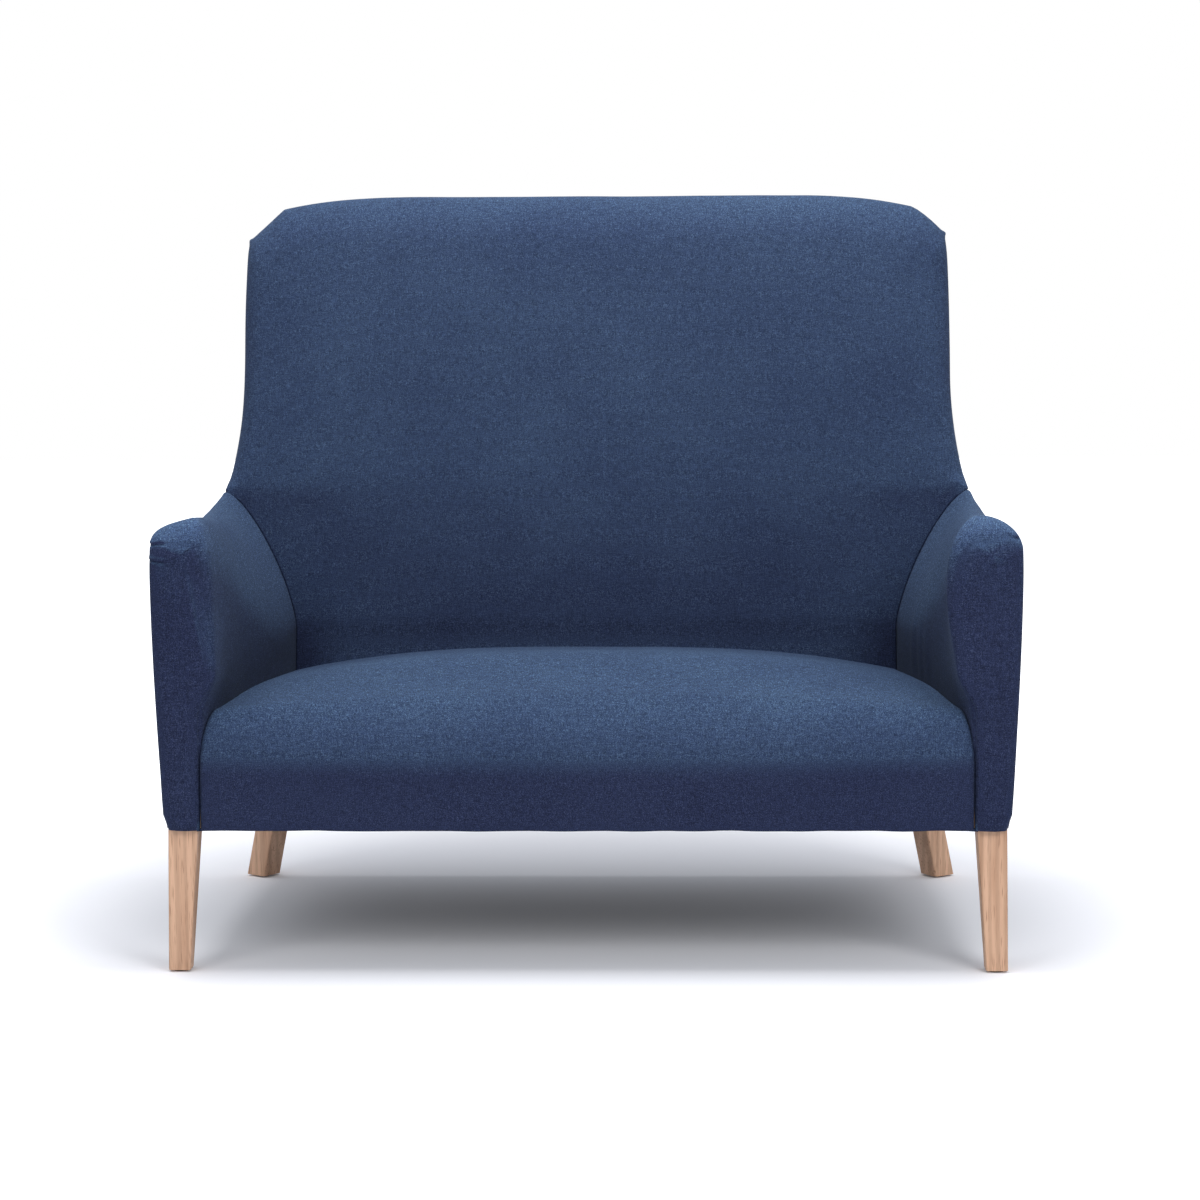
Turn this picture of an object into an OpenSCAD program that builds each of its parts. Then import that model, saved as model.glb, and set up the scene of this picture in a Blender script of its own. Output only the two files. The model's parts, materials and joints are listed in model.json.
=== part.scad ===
// High back settee: a beech frame with webbing, foam and tight wool covers, on four oak legs.
// Millimetres. The front faces -Y, Z is up and the floor is Z = 0.

/* [Overall] */
// Width over the arms where they swell most
settee_w = 1270; // [1180:5:1500]
// Depth from the front of the arms to the rear of the top edge
settee_d = 800; // [770:5:860]
// Height of the top edge of the back
settee_h = 1163; // [1100:1:1240]
// Height of the lower edge of the covers
hem_h = 213; // [195:1:230]

/* [Seat] */
// Height of the seat beside the arms
seat_side_h = 385; // [375:1:400]
// Rise of the crown above the seat's sides
seat_crown = 53; // [30:1:70]
// Height at which the front edge starts to roll over
seat_roll_h = 302; // [298:1:320]
// Length of the front roll at the middle of the seat
seat_roll_l = 85; // [60:1:110]
// Length of the front roll beside the arms
seat_roll_side_l = 55; // [40:1:80]

/* [Arms] */
// Height of an arm's crest at the front
arm_h = 672; // [655:1:690]
// Height at which an arm swells most
arm_swell_h = 584; // [560:1:600]
// Width of an arm at its swell, at the front
arm_front_w = 94; // [86:1:100]
// Width from an arm's swell to the seat's front edge
arm_low_w = 67; // [63:1:80]
// Width from an arm's swell to the seat's rear corner
arm_rear_w = 140; // [125:1:165]
// How far the outer face draws in from the swell down to the hem
arm_hem_tuck = 15; // [8:1:20]
// How far the outer face draws in from the front to the rear
arm_rear_tuck = 18; // [12:1:24]
// Distance from the outer face to the crest at the front
arm_crest_in = 55; // [45:1:60]
// Distance from the outer face to the crest at the back
arm_crest_in_rear = 6; // [5:1:10]
// Height of the inner shoulder at the front
arm_shoulder_h = 60; // [50:1:80]
// Height of the inner shoulder at the back
arm_shoulder_rear_h = 218; // [190:1:230]
// Height of the outer shoulder
arm_edge_h = 46; // [38:1:55]
// Dip of the crest behind the arm's front
arm_dip = 16; // [6:1:20]
// Rise of the crest where the arm sweeps up to the back
arm_sweep = 16; // [8:1:22]
// Rounding of the edges of an arm's front
arm_front_r = 10; // [6:1:12]
// How far an arm runs on behind the face of the back
arm_tuck = 58; // [45:1:62]

/* [Back] */
// Inset of the back's straight sides from the arms' swell
back_in = 44; // [38:1:55]
// Depth of the back behind the crown of the seat
back_low_t = 248; // [240:2:280]
// Depth of the back at its top edge
back_top_t = 94; // [88:1:104]
// Lean of the outside of the back, in degrees
outside_rake = 3.4; // [2.5:0.1:4]
// How far the sides flare out to meet the arms
back_flare = 30; // [20:1:34]
// Height at which that flare starts
back_flare_h = 860; // [820:1:900]
// How far the sides draw in at the ears
ear_tuck = 5; // [2:0.5:7]
// Height of the ears below the top edge
ear_drop = 73; // [60:1:85]
// Distance from an ear in to the start of the cut corner
corner_cut = 57; // [45:1:70]
// Half of the flat stretch of the top edge
top_flat = 340; // [250:5:400]
// Fall of the top edge from the flat stretch to the cut corner
top_fall = 20; // [8:1:28]
// Height of the roll along the top
top_roll_h = 75; // [60:1:90]
// Depth of the roll along the top
top_roll_d = 46; // [36:1:50]
// Radius of the roll down the sides
side_roll = 34; // [24:1:36]
// Crown of the back's face
back_crown = 12; // [4:1:16]
// Corner radius in plan at the hem
corner_hem_r = 110; // [100:1:120]
// Corner radius in plan at the top
corner_top_r = 42; // [34:1:50]

/* [Upholstery] */
// Thickness of a cover
cover_t = 2; // [1.5:0.1:3]
// Clearance between soft pieces and what they lie on
fit = 0.3; // [0.2:0.1:0.4]
// Gap at a tucked joint between two covers
tuck_gap = 1.6; // [1.2:0.1:2.5]
// Least foam over the inner side of an arm
arm_pad_min = 4; // [3:0.5:6]
// Padding over the front of the frame
front_pad = 14; // [12:1:16]
// Thickness of the outer panels
panel_t = 3; // [2:0.5:4]
// Thickness of the panels inside the arms
inner_panel_t = 4; // [3:0.5:5]
// Width of a webbing strip
web_w = 60; // [50:1:70]
// Thickness of a webbing strip
web_t = 1.5; // [1:0.1:2]
// Foam over the top rail of the back
back_top_pad = 74; // [68:1:84]
// Foam on the back at the liner rail
back_pad = 74; // [66:1:80]
// Thickness of the cloth under the seat
dust_t = 0.8; // [0.5:0.1:1.2]

/* [Frame] */
// Thickness of the rails
rail_t = 28; // [24:1:30]
// Height of the seat rails
seat_rail_h = 75; // [68:1:78]
// Thickness of the boards at the arms' fronts
arm_board_t = 30; // [24:1:34]
// Height of the rail along the top of an arm
arm_rail_h = 28; // [22:1:32]
// Height of the tack rail and liner rail
tack_rail_h = 30; // [24:1:36]
// Thickness of the side boards of the back
side_board_t = 25; // [20:1:30]
// Height of the top rail of the back
top_rail_h = 28; // [22:1:32]
// Width of the middle stile of the back
stile_w = 50; // [40:1:60]
// Height of the corner blocks
block_h = 40; // [34:1:46]
// Length of the front corner blocks along the front rail
block_l = 90; // [75:1:110]
// Length of the front corner blocks behind the arms' boards
block_back_l = 50; // [40:1:60]

/* [Legs] */
// Width of a front leg at the top
front_leg_top = 44; // [40:1:45]
// Width of a front leg at the floor
front_leg_foot = 32; // [26:1:38]
// Inset of a front leg from the outer face
front_leg_in = 4.5; // [3:0.5:6]
// Inset of a front leg from the front face
front_leg_back = 10; // [6:1:14]
// Lean of a front leg's outer face, out towards the floor
front_leg_lean = 3; // [0:0.5:6]
// Side of a rear leg
rear_leg_w = 40; // [34:1:42]
// Splay of a rear leg to the side
rear_splay = 44; // [30:1:50]
// Splay of a rear leg to the rear
rear_kick = 32; // [30:1:50]
// Middle of a rear leg's top, in from the outer side
rear_leg_side_in = 68; // [66:1:74]
// Middle of a rear leg's top, in from the outside of the back
rear_leg_back_in = 42; // [41:1:48]
// Rounding of the legs' long edges
leg_edge_r = 3; // [1:0.5:5]
// Thickness of the glides under the legs
glide_t = 3; // [2:0.5:5]
// Diameter of the glides
glide_d = 22; // [16:1:24]

/* [Fasteners] */
// Diameter of the bolts that hold the legs
bolt_d = 8; // [6:1:10]
// Depth of a bolt in its leg
bolt_in_leg = 45; // [35:1:55]
// Diameter of the barrel of a tee nut
nut_d = 10.5; // [10.5:0.5:12]
// Diameter of the flange of a tee nut
nut_flange_d = 22; // [18:1:26]
// Thickness of the flange of a tee nut
nut_flange_t = 1.5; // [1:0.1:2]
// How far a tee nut lies below the top of its block
nut_sink = 6; // [5:0.5:8]
// Clearance round a fastener
hole_gap = 0.2; // [0.1:0.05:0.3]
// Diameter of the frame screws
screw_d = 5; // [4:0.5:6]
// Length of the frame screws
screw_l = 50; // [45:1:55]
// Diameter of a screw's head
screw_head_d = 9; // [8:0.5:10]
// Height of a screw's head
screw_head_h = 3; // [2:0.5:4]

/* [Hidden] */

half_w = settee_w / 2;
front_y = -settee_d / 2;
rear_y = settee_d / 2;
seat_depth = settee_d - back_low_t;
seat_h = seat_side_h + seat_crown;
seat_front_half = half_w - arm_low_w;
face_slope = (back_low_t - back_top_t) / (settee_h - seat_h);
skin = cover_t + fit;
shell_in = skin + panel_t;
rail_z = hem_h + cover_t;
rail_top = rail_z + seat_rail_h;
web_top = rail_top + 2 * web_t + 2 * fit;
cushion_z = web_top + fit;
frame_y = front_y + front_pad + fit;
board_rear_y = frame_y + arm_board_t;
arm_board_in = seat_front_half + skin + arm_pad_min;
arm_in_front = half_w - arm_front_w;
arm_in_rear = half_w - arm_rear_w;
arm_board_top = arm_h - arm_dip - arm_edge_h;
frame_in = arm_board_in + inner_panel_t;
back_half_w = half_w - back_in;
ear_x = back_half_w - ear_tuck;
ear_z = settee_h - ear_drop;
cut_x = ear_x - corner_cut;
top_rail_top = settee_h - back_top_pad - skin;
top_rail_z = top_rail_top - top_rail_h;
liner_z = cushion_z + tack_rail_h;
oversize = 2;
// Rise of the inside back's lower edge where its cover is cut to pass the posts behind the arms
cut_rise = 5;

// Shares of the depth over which an arm thickens, chosen from the photograph.
thicken_start_share = 0.2;
thicken_length_share = 0.9;
// Share of the seat's depth over which the arm's lower step fades out.
step_share = 0.36;
// Shares of the seat's depth by which an arm's crest has dipped, and at which it starts to sweep up.
dip_share = 0.5;
sweep_share = 0.68;
// Exponents of the arm's shoulders: a low one is a flat slope, a high one a square corner.
shoulder_power = 2.2;
shoulder_rear_power = 1.35;
edge_power = 1.9;
// Share of the lower tuck by which an arm's outer face draws in again up to its crest.
crest_tuck_share = 0.3;
// Exponents of the outer face below its swell, of the lower step's fading and of the top edge's fall.
swell_power = 1.6;
step_power = 2.2;
fall_power = 2.2;
// Exponents of the back's crown, of the blend between its side and top rolls, and of the seat's crown.
crown_power = 4;
blend_power = 2.5;
seat_power = 2.4;
// Share of the back's height above the seat over which its crown grows.
crown_rise_share = 0.4;
// Share of the side roll that is left below the arms' crest.
low_roll_share = 0.25;
// The seat's crown: its share at the front edge and at the back, and where on the way it is full.
front_crown_share = 0.15;
rear_crown_share = 0.62;
full_crown_share = 0.6;
// Exponent with which the seat's edge leans with the back as it nears it.
lean_power = 6;

// Stations of the forms: shares of the way from the middle (0) to an edge (1).
back_u_shares = [0.3, 0.6, 0.82, 0.905, 0.96];
back_ring_shares = [1, 0.985, 0.96, 0.925, 0.87, 0.7, 0.35];
seat_u_shares = [0.3, 0.55, 0.76, 0.9];
seat_ring_shares = [1, 0.985, 0.955, 0.9, 0.8, 0.6, 0.3];
// Stations up the side of the back, as shares of the way to the arms' shoulder, on to their crest,
// and on to the ear.
foot_shares = [0.5, 1];
shoulder_shares = [0.22, 0.46, 0.68, 0.86, 0.97];
// Stations at the cut over the posts, one inside its rise and one above it.
cut_rise_shares = [0.8, 1.4];
upper_shares = [0.09, 0.2, 0.34, 0.56, 0.86, 0.96];
// Stations along the seat and the arms' inner sides, as shares of the seat's depth.
depth_shares = [0.06, 0.14, 0.26, 0.42, 0.58, 0.74, 0.88];
arm_tail_shares = [0, 0.5, 1];

fine = 48;

// Curves that every piece is cut to.
function ease(t) = let (s = min(1, max(0, t))) s * s * (3 - 2 * s);
function mix(a, b, t) = a + (b - a) * t;
function rolled(d, r) = d >= r ? 0 : 1 - sqrt(max(0, 1 - pow((r - d) / r, 2)));

function face_y(z) = front_y + seat_depth + (z - seat_h) * face_slope;
function out_y(z) = rear_y - (settee_h - z) * tan(outside_rake);
function corner_r(z) = mix(corner_hem_r, corner_top_r, (z - hem_h) / (settee_h - hem_h));
function web_y(z) = mix(face_y(liner_z) + back_pad, face_y(top_rail_z) + top_roll_d,
                        (z - liner_z) / (top_rail_z - liner_z));

// The outer face of an arm, and of the side as far as the rear corner.
function swell_tuck(z) = z < arm_swell_h
    ? arm_hem_tuck * pow((arm_swell_h - z) / (arm_swell_h - hem_h), swell_power)
    : arm_hem_tuck * crest_tuck_share * pow((z - arm_swell_h) / (arm_h - arm_swell_h), 2);
function outer_x(y, z) = half_w - swell_tuck(z) - arm_rear_tuck * (y - front_y) / settee_d;

// The side of the back above the arms.
function side_x(z) = back_half_w
    + back_flare * pow(max(0, (back_flare_h - z) / (back_flare_h - crest_z(seam_y))), 2)
    - ear_tuck * max(0, min(1, (z - back_flare_h) / (ear_z - back_flare_h)));

// The top edge of the back.
function top_z(x) = let (a = abs(x))
    a > cut_x ? mix(settee_h - top_fall, ear_z, (a - cut_x) / corner_cut)
    : settee_h - top_fall * pow(max(0, (a - top_flat) / (cut_x - top_flat)), fall_power);

// The section of an arm: its crest, shoulders and inner face at a station y.
seam_y = face_y(seat_h);
function at_y(y) = min(y, seam_y);
function way(y) = (at_y(y) - front_y) / (seam_y - front_y);
function thick_way(y) = ease((way(y) - thicken_start_share) / thicken_length_share);
function base_x(y) = mix(arm_in_front, arm_in_rear, thick_way(y) / thick_way(seam_y));
function low_step(y) = max(0, seat_front_half - arm_in_front)
    * pow(max(0, 1 - way(y) / step_share), step_power);
function low_x(y) = base_x(y) + low_step(y);
// The arm's sections lean with the back as they near it. This is the station whose section holds a
// point at y and z.
function station(y, z) = let (k = (z - seat_h) * face_slope / (seam_y - front_y))
    (y + k * front_y) / (1 + k);
function crest_z(y) = arm_h - arm_dip * ease(way(y) / dip_share)
    + arm_sweep * pow(max(0, (way(y) - sweep_share) / (1 - sweep_share)), 2);
function crest_x(y) = outer_x(at_y(y), arm_h) - mix(arm_crest_in, arm_crest_in_rear, ease(way(y)));
function shoulder_h(y) = mix(arm_shoulder_h, arm_shoulder_rear_h, ease(way(y)));
function shoulder_n(y) = mix(shoulder_power, shoulder_rear_power, ease(way(y)));
function inner_x(y, z) = let (z0 = crest_z(y) - shoulder_h(y), n = shoulder_n(y), b = base_x(y))
    z <= z0 ? mix(low_x(y), b, ease((z - seat_side_h) / arm_shoulder_h))
    : z >= crest_z(y) ? crest_x(y)
    : crest_x(y) - (crest_x(y) - b) * pow(1 - pow((z - z0) / shoulder_h(y), n), 1 / n);

// Grids of points to closed solids. A ring is a closed row of points, all rings alike in length.
function joined(rows) = [for (row = rows) each row];
function ring_faces(n, rows, at, flip) = [
    for (r = [0:rows - 2]) for (i = [0:n - 1])
        let (a = at + r * n + i, b = at + r * n + (i + 1) % n)
        each flip ? [[a, b, b + n], [a, b + n, a + n]] : [[a, b + n, b], [a, a + n, b + n]]
];
function fan_faces(n, at, tip, flip) = [
    for (i = [0:n - 1]) let (a = at + i, b = at + (i + 1) % n) flip ? [a, b, tip] : [b, a, tip]
];

// A solid from rings, closed by a point beyond the first ring and a point beyond the last.
module ring_solid(rings, start_tip, end_tip) {
    n = len(rings[0]);
    rows = len(rings);
    polyhedron(
        points = concat(joined(rings), [start_tip, end_tip]),
        faces = concat(
            ring_faces(n, rows, 0, true),
            fan_faces(n, 0, n * rows, false),
            fan_faces(n, n * (rows - 1), n * rows + 1, true)
        ),
        convexity = 6
    );
}

// A thin shell between two sets of rings: open at the first ring, closed by tips at the last.
module ring_shell(outer, inner, outer_tip, inner_tip) {
    n = len(outer[0]);
    rows = len(outer);
    half = n * rows;
    polyhedron(
        points = concat(joined(outer), joined(inner), [outer_tip, inner_tip]),
        faces = concat(
            ring_faces(n, rows, 0, true),
            ring_faces(n, rows, half, false),
            fan_faces(n, half - n, 2 * half, true),
            fan_faces(n, 2 * half - n, 2 * half + 1, false),
            [for (i = [0:n - 1]) let (a = i, b = (i + 1) % n)
                each [[a, b + half, b], [a, a + half, b + half]]]
        ),
        convexity = 6
    );
}

// Faces of an open grid, the bridge over its first row, and the loop round its edge.
function grid_faces(cols, rows, at, flip) = [
    for (r = [0:rows - 2]) for (c = [0:cols - 2])
        let (a = at + r * cols + c, b = a + 1)
        each flip ? [[a, b, b + cols], [a, b + cols, a + cols]]
            : [[a, b + cols, b], [a, a + cols, b + cols]]
];
function bridge_faces(cols, at, flip) = [
    for (c = [0:cols / 2 - 2])
        let (a = at + c, b = a + 1, e = at + cols - 1 - c, f = e - 1)
        each flip ? [[a, f, e], [a, b, f]] : [[a, e, f], [a, f, b]]
];
function edge_loop(cols, rows) = concat(
    [for (r = [0:rows - 1]) r * cols],
    [for (c = [1:cols - 1]) (rows - 1) * cols + c],
    [for (r = [rows - 2:-1:0]) r * cols + cols - 1]
);
function loop_faces(loop, half) = [
    for (i = [0:len(loop) - 1]) let (a = loop[i], b = loop[(i + 1) % len(loop)])
        each [[a, b + half, b], [a, a + half, b + half]]
];

// A thin shell between two open grids. With bridged, the first row closes across to itself.
module grid_shell(outer, inner, bridged = false) {
    cols = len(outer[0]);
    rows = len(outer);
    half = cols * rows;
    polyhedron(
        points = concat(joined(outer), joined(inner)),
        faces = concat(
            grid_faces(cols, rows, 0, false),
            grid_faces(cols, rows, half, true),
            bridged ? bridge_faces(cols, 0, true) : [],
            bridged ? bridge_faces(cols, half, false) : [],
            bridged ? loop_faces(edge_loop(cols, rows), half)
                : loop_faces(concat(edge_loop(cols, rows), [for (c = [cols - 2:-1:1]) c]), half)
        ),
        convexity = 6
    );
}

// A solid whose section is a closed row, bridged across at both ends.
module grid_solid(rows_of_points) {
    cols = len(rows_of_points[0]);
    rows = len(rows_of_points);
    polyhedron(
        points = joined(rows_of_points),
        faces = concat(
            ring_faces(cols, rows, 0, false),
            bridge_faces(cols, 0, true),
            bridge_faces(cols, cols * (rows - 1), false)
        ),
        convexity = 6
    );
}

// The square of stations that seat and back share: up the left, across, down the right, and home.
function mirrored(shares) = concat([for (i = [len(shares) - 1:-1:0]) -shares[i]], [0], shares);
function square_ring(us, vs) = let (u = mirrored(us), m = len(u) - 1, k = len(vs) - 1) concat(
    [[-1, -1]],
    [for (v = vs) [-1, v]],
    [[-1, 1]],
    [for (i = [0:m]) [u[i], 1]],
    [[1, 1]],
    [for (i = [k:-1:0]) [1, vs[i]]],
    [[1, -1]],
    [for (i = [m:-1:0]) [u[i], -1]]
);

// The back: a point of its face for u and v from -1 to 1, at an inset d from the finished face.
notch_z = crest_z(seam_y);
shoulder_z = notch_z - shoulder_h(seam_y);
back_low_z = cushion_z + fit;
function back_side(z, d) = (z > notch_z ? side_x(z) : inner_x(seam_y, z) - tuck_gap) - d;
function back_z(u, v, d) = mix(back_low_z + d, top_z(u * ear_x) - d, (v + 1) / 2);
function back_roll_y(x, z, u, d) =
    let (side = side_roll * (z > notch_z ? 1 : low_roll_share),
         over_side = side * rolled(back_side(z, d) - abs(x), side),
         over_top = top_roll_d * rolled(top_z(u * ear_x) - d - z, top_roll_h))
    pow(pow(over_side, blend_power) + pow(over_top, blend_power), 1 / blend_power);
function back_point(u, v, d) =
    let (z = back_z(u, v, d), x = u * back_side(z, d),
         crown = back_crown * (1 - pow(abs(u), crown_power)) * (1 - pow(abs(v), crown_power))
             * ease((z - seat_h) / (crown_rise_share * (settee_h - seat_h))))
    [x, face_y(z) + d - crown + back_roll_y(x, z, u, d), z];

// Where a point of the back's edge goes as the cover turns the rear corner by an angle.
cut_normal = [settee_h - top_fall - ear_z, corner_cut] / norm([settee_h - top_fall - ear_z, corner_cut]);
function edge_normal(p) = p[1] < 1 ? [p[0] < 0 ? -1 : 1, 0]
    : abs(p[0]) == 1 ? [p[0], (1 - cut_normal[0]) / cut_normal[1]]
    : abs(p[0]) * ear_x > cut_x ? [sign(p[0]) * cut_normal[0], cut_normal[1]] : [0, 1];
function back_rear_r(z, d) = corner_r(z) - d;
// Below the arms' crest, and along its lower edge, the cover runs straight back to the webbing. Just
// above the crest it is cut to pass the post, and ends where the rear corner starts.
function wall_share(angle) = (angle + 45) / 135;
function back_wall(p, angle, d, tail) =
    let (e = back_point(p[0], p[1], d), n = edge_normal(p), r = back_rear_r(e[2], d))
    p[1] == -1 || e[2] <= notch_z ? [e[0], mix(e[1], pad_y(e[2]) + tail, wall_share(angle)), e[2]]
    : e[2] < notch_z + cut_rise ? [e[0], mix(e[1], out_y(e[2]) - d - r, wall_share(angle)), e[2]]
    : [e[0] - n[0] * r * (1 - cos(angle)),
       out_y(e[2]) - d - r + r * sin(angle),
       e[2] - n[1] * r * (1 - cos(angle))];
function back_v(z) = 2 * (z - back_low_z) / (ear_z - back_low_z) - 1;
back_square = square_ring(back_u_shares, concat(
    [for (s = foot_shares) back_v(mix(back_low_z, shoulder_z, s))],
    [for (s = shoulder_shares) back_v(mix(shoulder_z, notch_z, s))],
    [for (s = cut_rise_shares) back_v(notch_z + cut_rise * s)],
    [for (s = upper_shares) back_v(mix(notch_z, ear_z, s))]
));
function back_rings(d, tail) = concat(
    [for (angle = [90, 60, 30, 0]) [for (p = back_square) back_wall(p, angle, d, tail)]],
    [for (s = back_ring_shares) [for (p = back_square) back_point(p[0] * s, p[1] * s, d)]]
);

// The seat: a point of its top for u and v from -1 to 1, v = -1 being the front.
function seat_half_w(y, z, d) = low_x(station(y, z)) - tuck_gap - d;
function seat_rise(t) = t < full_crown_share ? mix(front_crown_share, 1, ease(t / full_crown_share))
    : mix(1, rear_crown_share, ease((t - full_crown_share) / (1 - full_crown_share)));
function seat_point(u, v, d) =
    let (t = (v + 1) / 2,
         rear = face_y(seat_h) - tuck_gap - d,
         y = mix(front_y + d, rear, t),
         flat_z = seat_side_h + seat_crown * (1 - pow(abs(u), seat_power)) * seat_rise(t) - d,
         roll = mix(seat_roll_l, seat_roll_side_l, u * u),
         z = flat_z - (flat_z - seat_roll_h) * rolled(y - front_y - d, roll),
         leaned = y + min(0, (z - seat_h) * face_slope) * pow(t, lean_power))
    [u * seat_half_w(leaned, z, d), leaned, z];
function seat_wall(p, share, low_z, d) =
    let (e = seat_point(p[0], p[1], d),
         z = mix(e[2], p[1] == -1 ? low_z : cushion_z, share),
         y = p[1] == 1 ? face_y(z) - tuck_gap - d : e[1])
    [p[0] * seat_half_w(y, z, d), y, z];
// The first station behind the front edge lies inside the border's padding.
seat_first_v = -1 + 2 * (front_pad - fit) / seat_depth;
seat_square = square_ring(seat_u_shares, concat([seat_first_v], [for (s = depth_shares) 2 * s - 1]));
function seat_rings(d, low_z) = concat(
    [for (share = [1, 0.5]) [for (p = seat_square) seat_wall(p, share, low_z, d)]],
    [for (s = seat_ring_shares) [for (p = seat_square) seat_point(p[0] * s, p[1] * s, d)]]
);

// An arm's section at station y: up the inner face, over both shoulders and down the outer face.
function arm_section(y, low_z, edge_z, d) =
    let (z0 = crest_z(y) - shoulder_h(y), n = shoulder_n(y), xc = crest_x(y), zc = crest_z(y),
         ze = zc - arm_edge_h, xe = outer_x(y, ze))
    concat(
        [for (k = [0:3]) let (z = mix(low_z, z0, k / 4)) [inner_x(y, z) + d, z]],
        [for (k = [0:5]) let (a = k * 18)
            [xc - (xc - base_x(y) - d) * pow(cos(a), 2 / n),
             z0 + (shoulder_h(y) - d) * pow(sin(a), 2 / n)]],
        [for (k = [4:-1:0]) let (a = k * 22.5)
            [xc + (xe - d - xc) * pow(cos(a), 2 / edge_power),
             ze + (arm_edge_h - d) * pow(sin(a), 2 / edge_power)]],
        [for (k = [1:3]) let (z = mix(ze, edge_z, k / 3)) [outer_x(y, z) - d, z]]
    );
function middle_x(section, z) = (section[0][0] + section[len(section) - 1][0]) / 2;
// A row of an arm: the section drawn in by e, on the plane that leans with the back as it nears it.
function arm_row(y, low_z, edge_z, d, e, shift) =
    let (lean = way(y) * face_slope)
    [for (p = arm_section(y, low_z, edge_z, d + e)) [p[0], y + shift + (p[1] - seat_h) * lean, p[1]]];
function arm_edge_low_z(y) = crest_z(y) - arm_edge_h - 2 * tuck_gap;
arm_return_y = front_y + arm_front_r + fit;
arm_end_y = seam_y + arm_tuck;
arm_stations = concat(
    [for (s = depth_shares) mix(front_y, seam_y, s)],
    [for (s = arm_tail_shares) mix(seam_y, arm_end_y, s)]
);
function arm_rows(d, low_z) = concat(
    [for (a = [90, 60, 30]) arm_row(front_y + fit, low_z, low_z, d,
        arm_front_r * (1 - cos(a)), d + arm_front_r * (1 - sin(a)) - fit)],
    [arm_row(front_y + arm_front_r, low_z, low_z, d, 0, d)],
    [arm_row(arm_return_y + tuck_gap, cushion_z, arm_edge_low_z(arm_return_y), d, 0, d)],
    [for (y = arm_stations) arm_row(y, cushion_z, arm_edge_low_z(y), d, 0, 0)]
);

// The outer side in plan: along the arm, then round the rear corner. s runs from 0 to 1 along the
// side and from 1 to 2 round the corner.
side_start_y = arm_return_y + 2 * tuck_gap + cover_t;
function corner_start_y(z) = out_y(z) - corner_r(z);
function side_point(s, z, d) =
    let (r = corner_r(z), y = mix(side_start_y, corner_start_y(z), min(1, s)), a = 90 * max(0, s - 1))
    s <= 1 ? [outer_x(y, z) - d, y, z]
    : [outer_x(corner_start_y(z), z) - r + (r - d) * cos(a), corner_start_y(z) + (r - d) * sin(a), z];
side_rise_share = 0.965;
corner_steps = 5;
side_shares = concat(
    [0, 0.1, 0.2, 0.3, 0.42, 0.56, 0.7, 0.84, 0.96, side_rise_share],
    [for (k = [0:corner_steps]) 1 + k / corner_steps]
);
// How far the straight facets of a rounded rear corner lie inside its true arc.
function corner_sag(z) = corner_r(z) * (1 - cos(90 / (2 * corner_steps)));
// The upper edge of the outer side: the panel's is at the frame's top, the cover's below the arm's.
function side_top(s, panel) = s >= side_rise_share ? notch_z + cut_rise - tuck_gap
    : panel ? arm_board_top - fit
    : arm_edge_low_z(station(side_point(s, arm_swell_h, 0)[1], arm_swell_h)) - tuck_gap;
side_rows = 5;
function side_grid(d, low_z, panel) = [
    for (k = [0:side_rows]) [for (s = side_shares)
        side_point(s, mix(low_z, side_top(s, panel), k / side_rows), d)]
];

// The outside of the back, between the two rear corners.
function rear_half_w(z) = z > notch_z ? side_x(z) - corner_r(z)
    : outer_x(corner_start_y(z), z) - corner_r(z);
outside_low_z = hem_h + tuck_gap;
function cut_line_z(x) = ear_z + (ear_x - abs(x)) * (settee_h - top_fall - ear_z) / corner_cut;
function outside_top_z(x) = min(
    top_z(x) - corner_r(settee_h),
    cut_line_z(x) - corner_r(settee_h) / cut_normal[1]
) - tuck_gap;
rear_shares = [-1, -0.8, -0.4, 0, 0.4, 0.8, 1];
// Rows up the outside of the back: shares of the way to the arms' crest, and from there to its top.
outside_foot_shares = [0, 0.5, 1];
outside_upper_shares = [0, 0.12, 0.25, 0.4, 0.7, 1];
function outside_row(low_z, x, k) = let (n = len(outside_foot_shares))
    k < n ? mix(low_z, notch_z, outside_foot_shares[k])
    : mix(notch_z + cut_rise, outside_top_z(x), outside_upper_shares[k - n]);
function outside_back_grid(d, low_z) = [
    for (k = [0:len(outside_foot_shares) + len(outside_upper_shares) - 1]) [for (s = rear_shares)
        let (z = outside_row(low_z, s * rear_half_w(settee_h - corner_top_r), k))
        [-s * (rear_half_w(z) - tuck_gap), out_y(z) - d, z]]
];

module on_side(side) {
    mirror([side < 0 ? 1 : 0, 0, 0]) children();
}

// A board along the side whose outer edge follows the outer face at height z.
module side_plank(y0, y1, z, z0, h, inner, outer_gap) {
    translate([0, 0, z0])
        linear_extrude(height = h)
            polygon([
                [inner, y0], [outer_x(y0, z) - outer_gap, y0],
                [outer_x(y1, z) - outer_gap, y1], [inner, y1]
            ]);
}

module rounded_square(w, r) {
    square([w - 2 * r, w], center = true);
    square([w, w - 2 * r], center = true);
    for (x = [-1, 1]) for (y = [-1, 1])
        translate([x, y] * (w / 2 - r)) circle(r = r, $fn = fine);
}

// Legs, with the places that their bolts share.
front_top_x = outer_x(front_y, hem_h) - front_leg_in - front_leg_top / 2;
front_foot_x = outer_x(front_y, hem_h) - front_leg_in + front_leg_lean - front_leg_foot / 2;
front_leg_y = front_y + front_leg_back;
front_bolt = [front_top_x, front_leg_y + front_leg_top / 2];
rear_top = [
    outer_x(corner_start_y(hem_h), hem_h) - rear_leg_side_in,
    out_y(hem_h) - rear_leg_back_in
];
leg_l = rail_z - glide_t;
rear_tilt = atan(norm([rear_splay, rear_kick]) / leg_l);
rear_turn = atan2(rear_kick, rear_splay);
rear_axis = [rear_splay, rear_kick, -leg_l];

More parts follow.
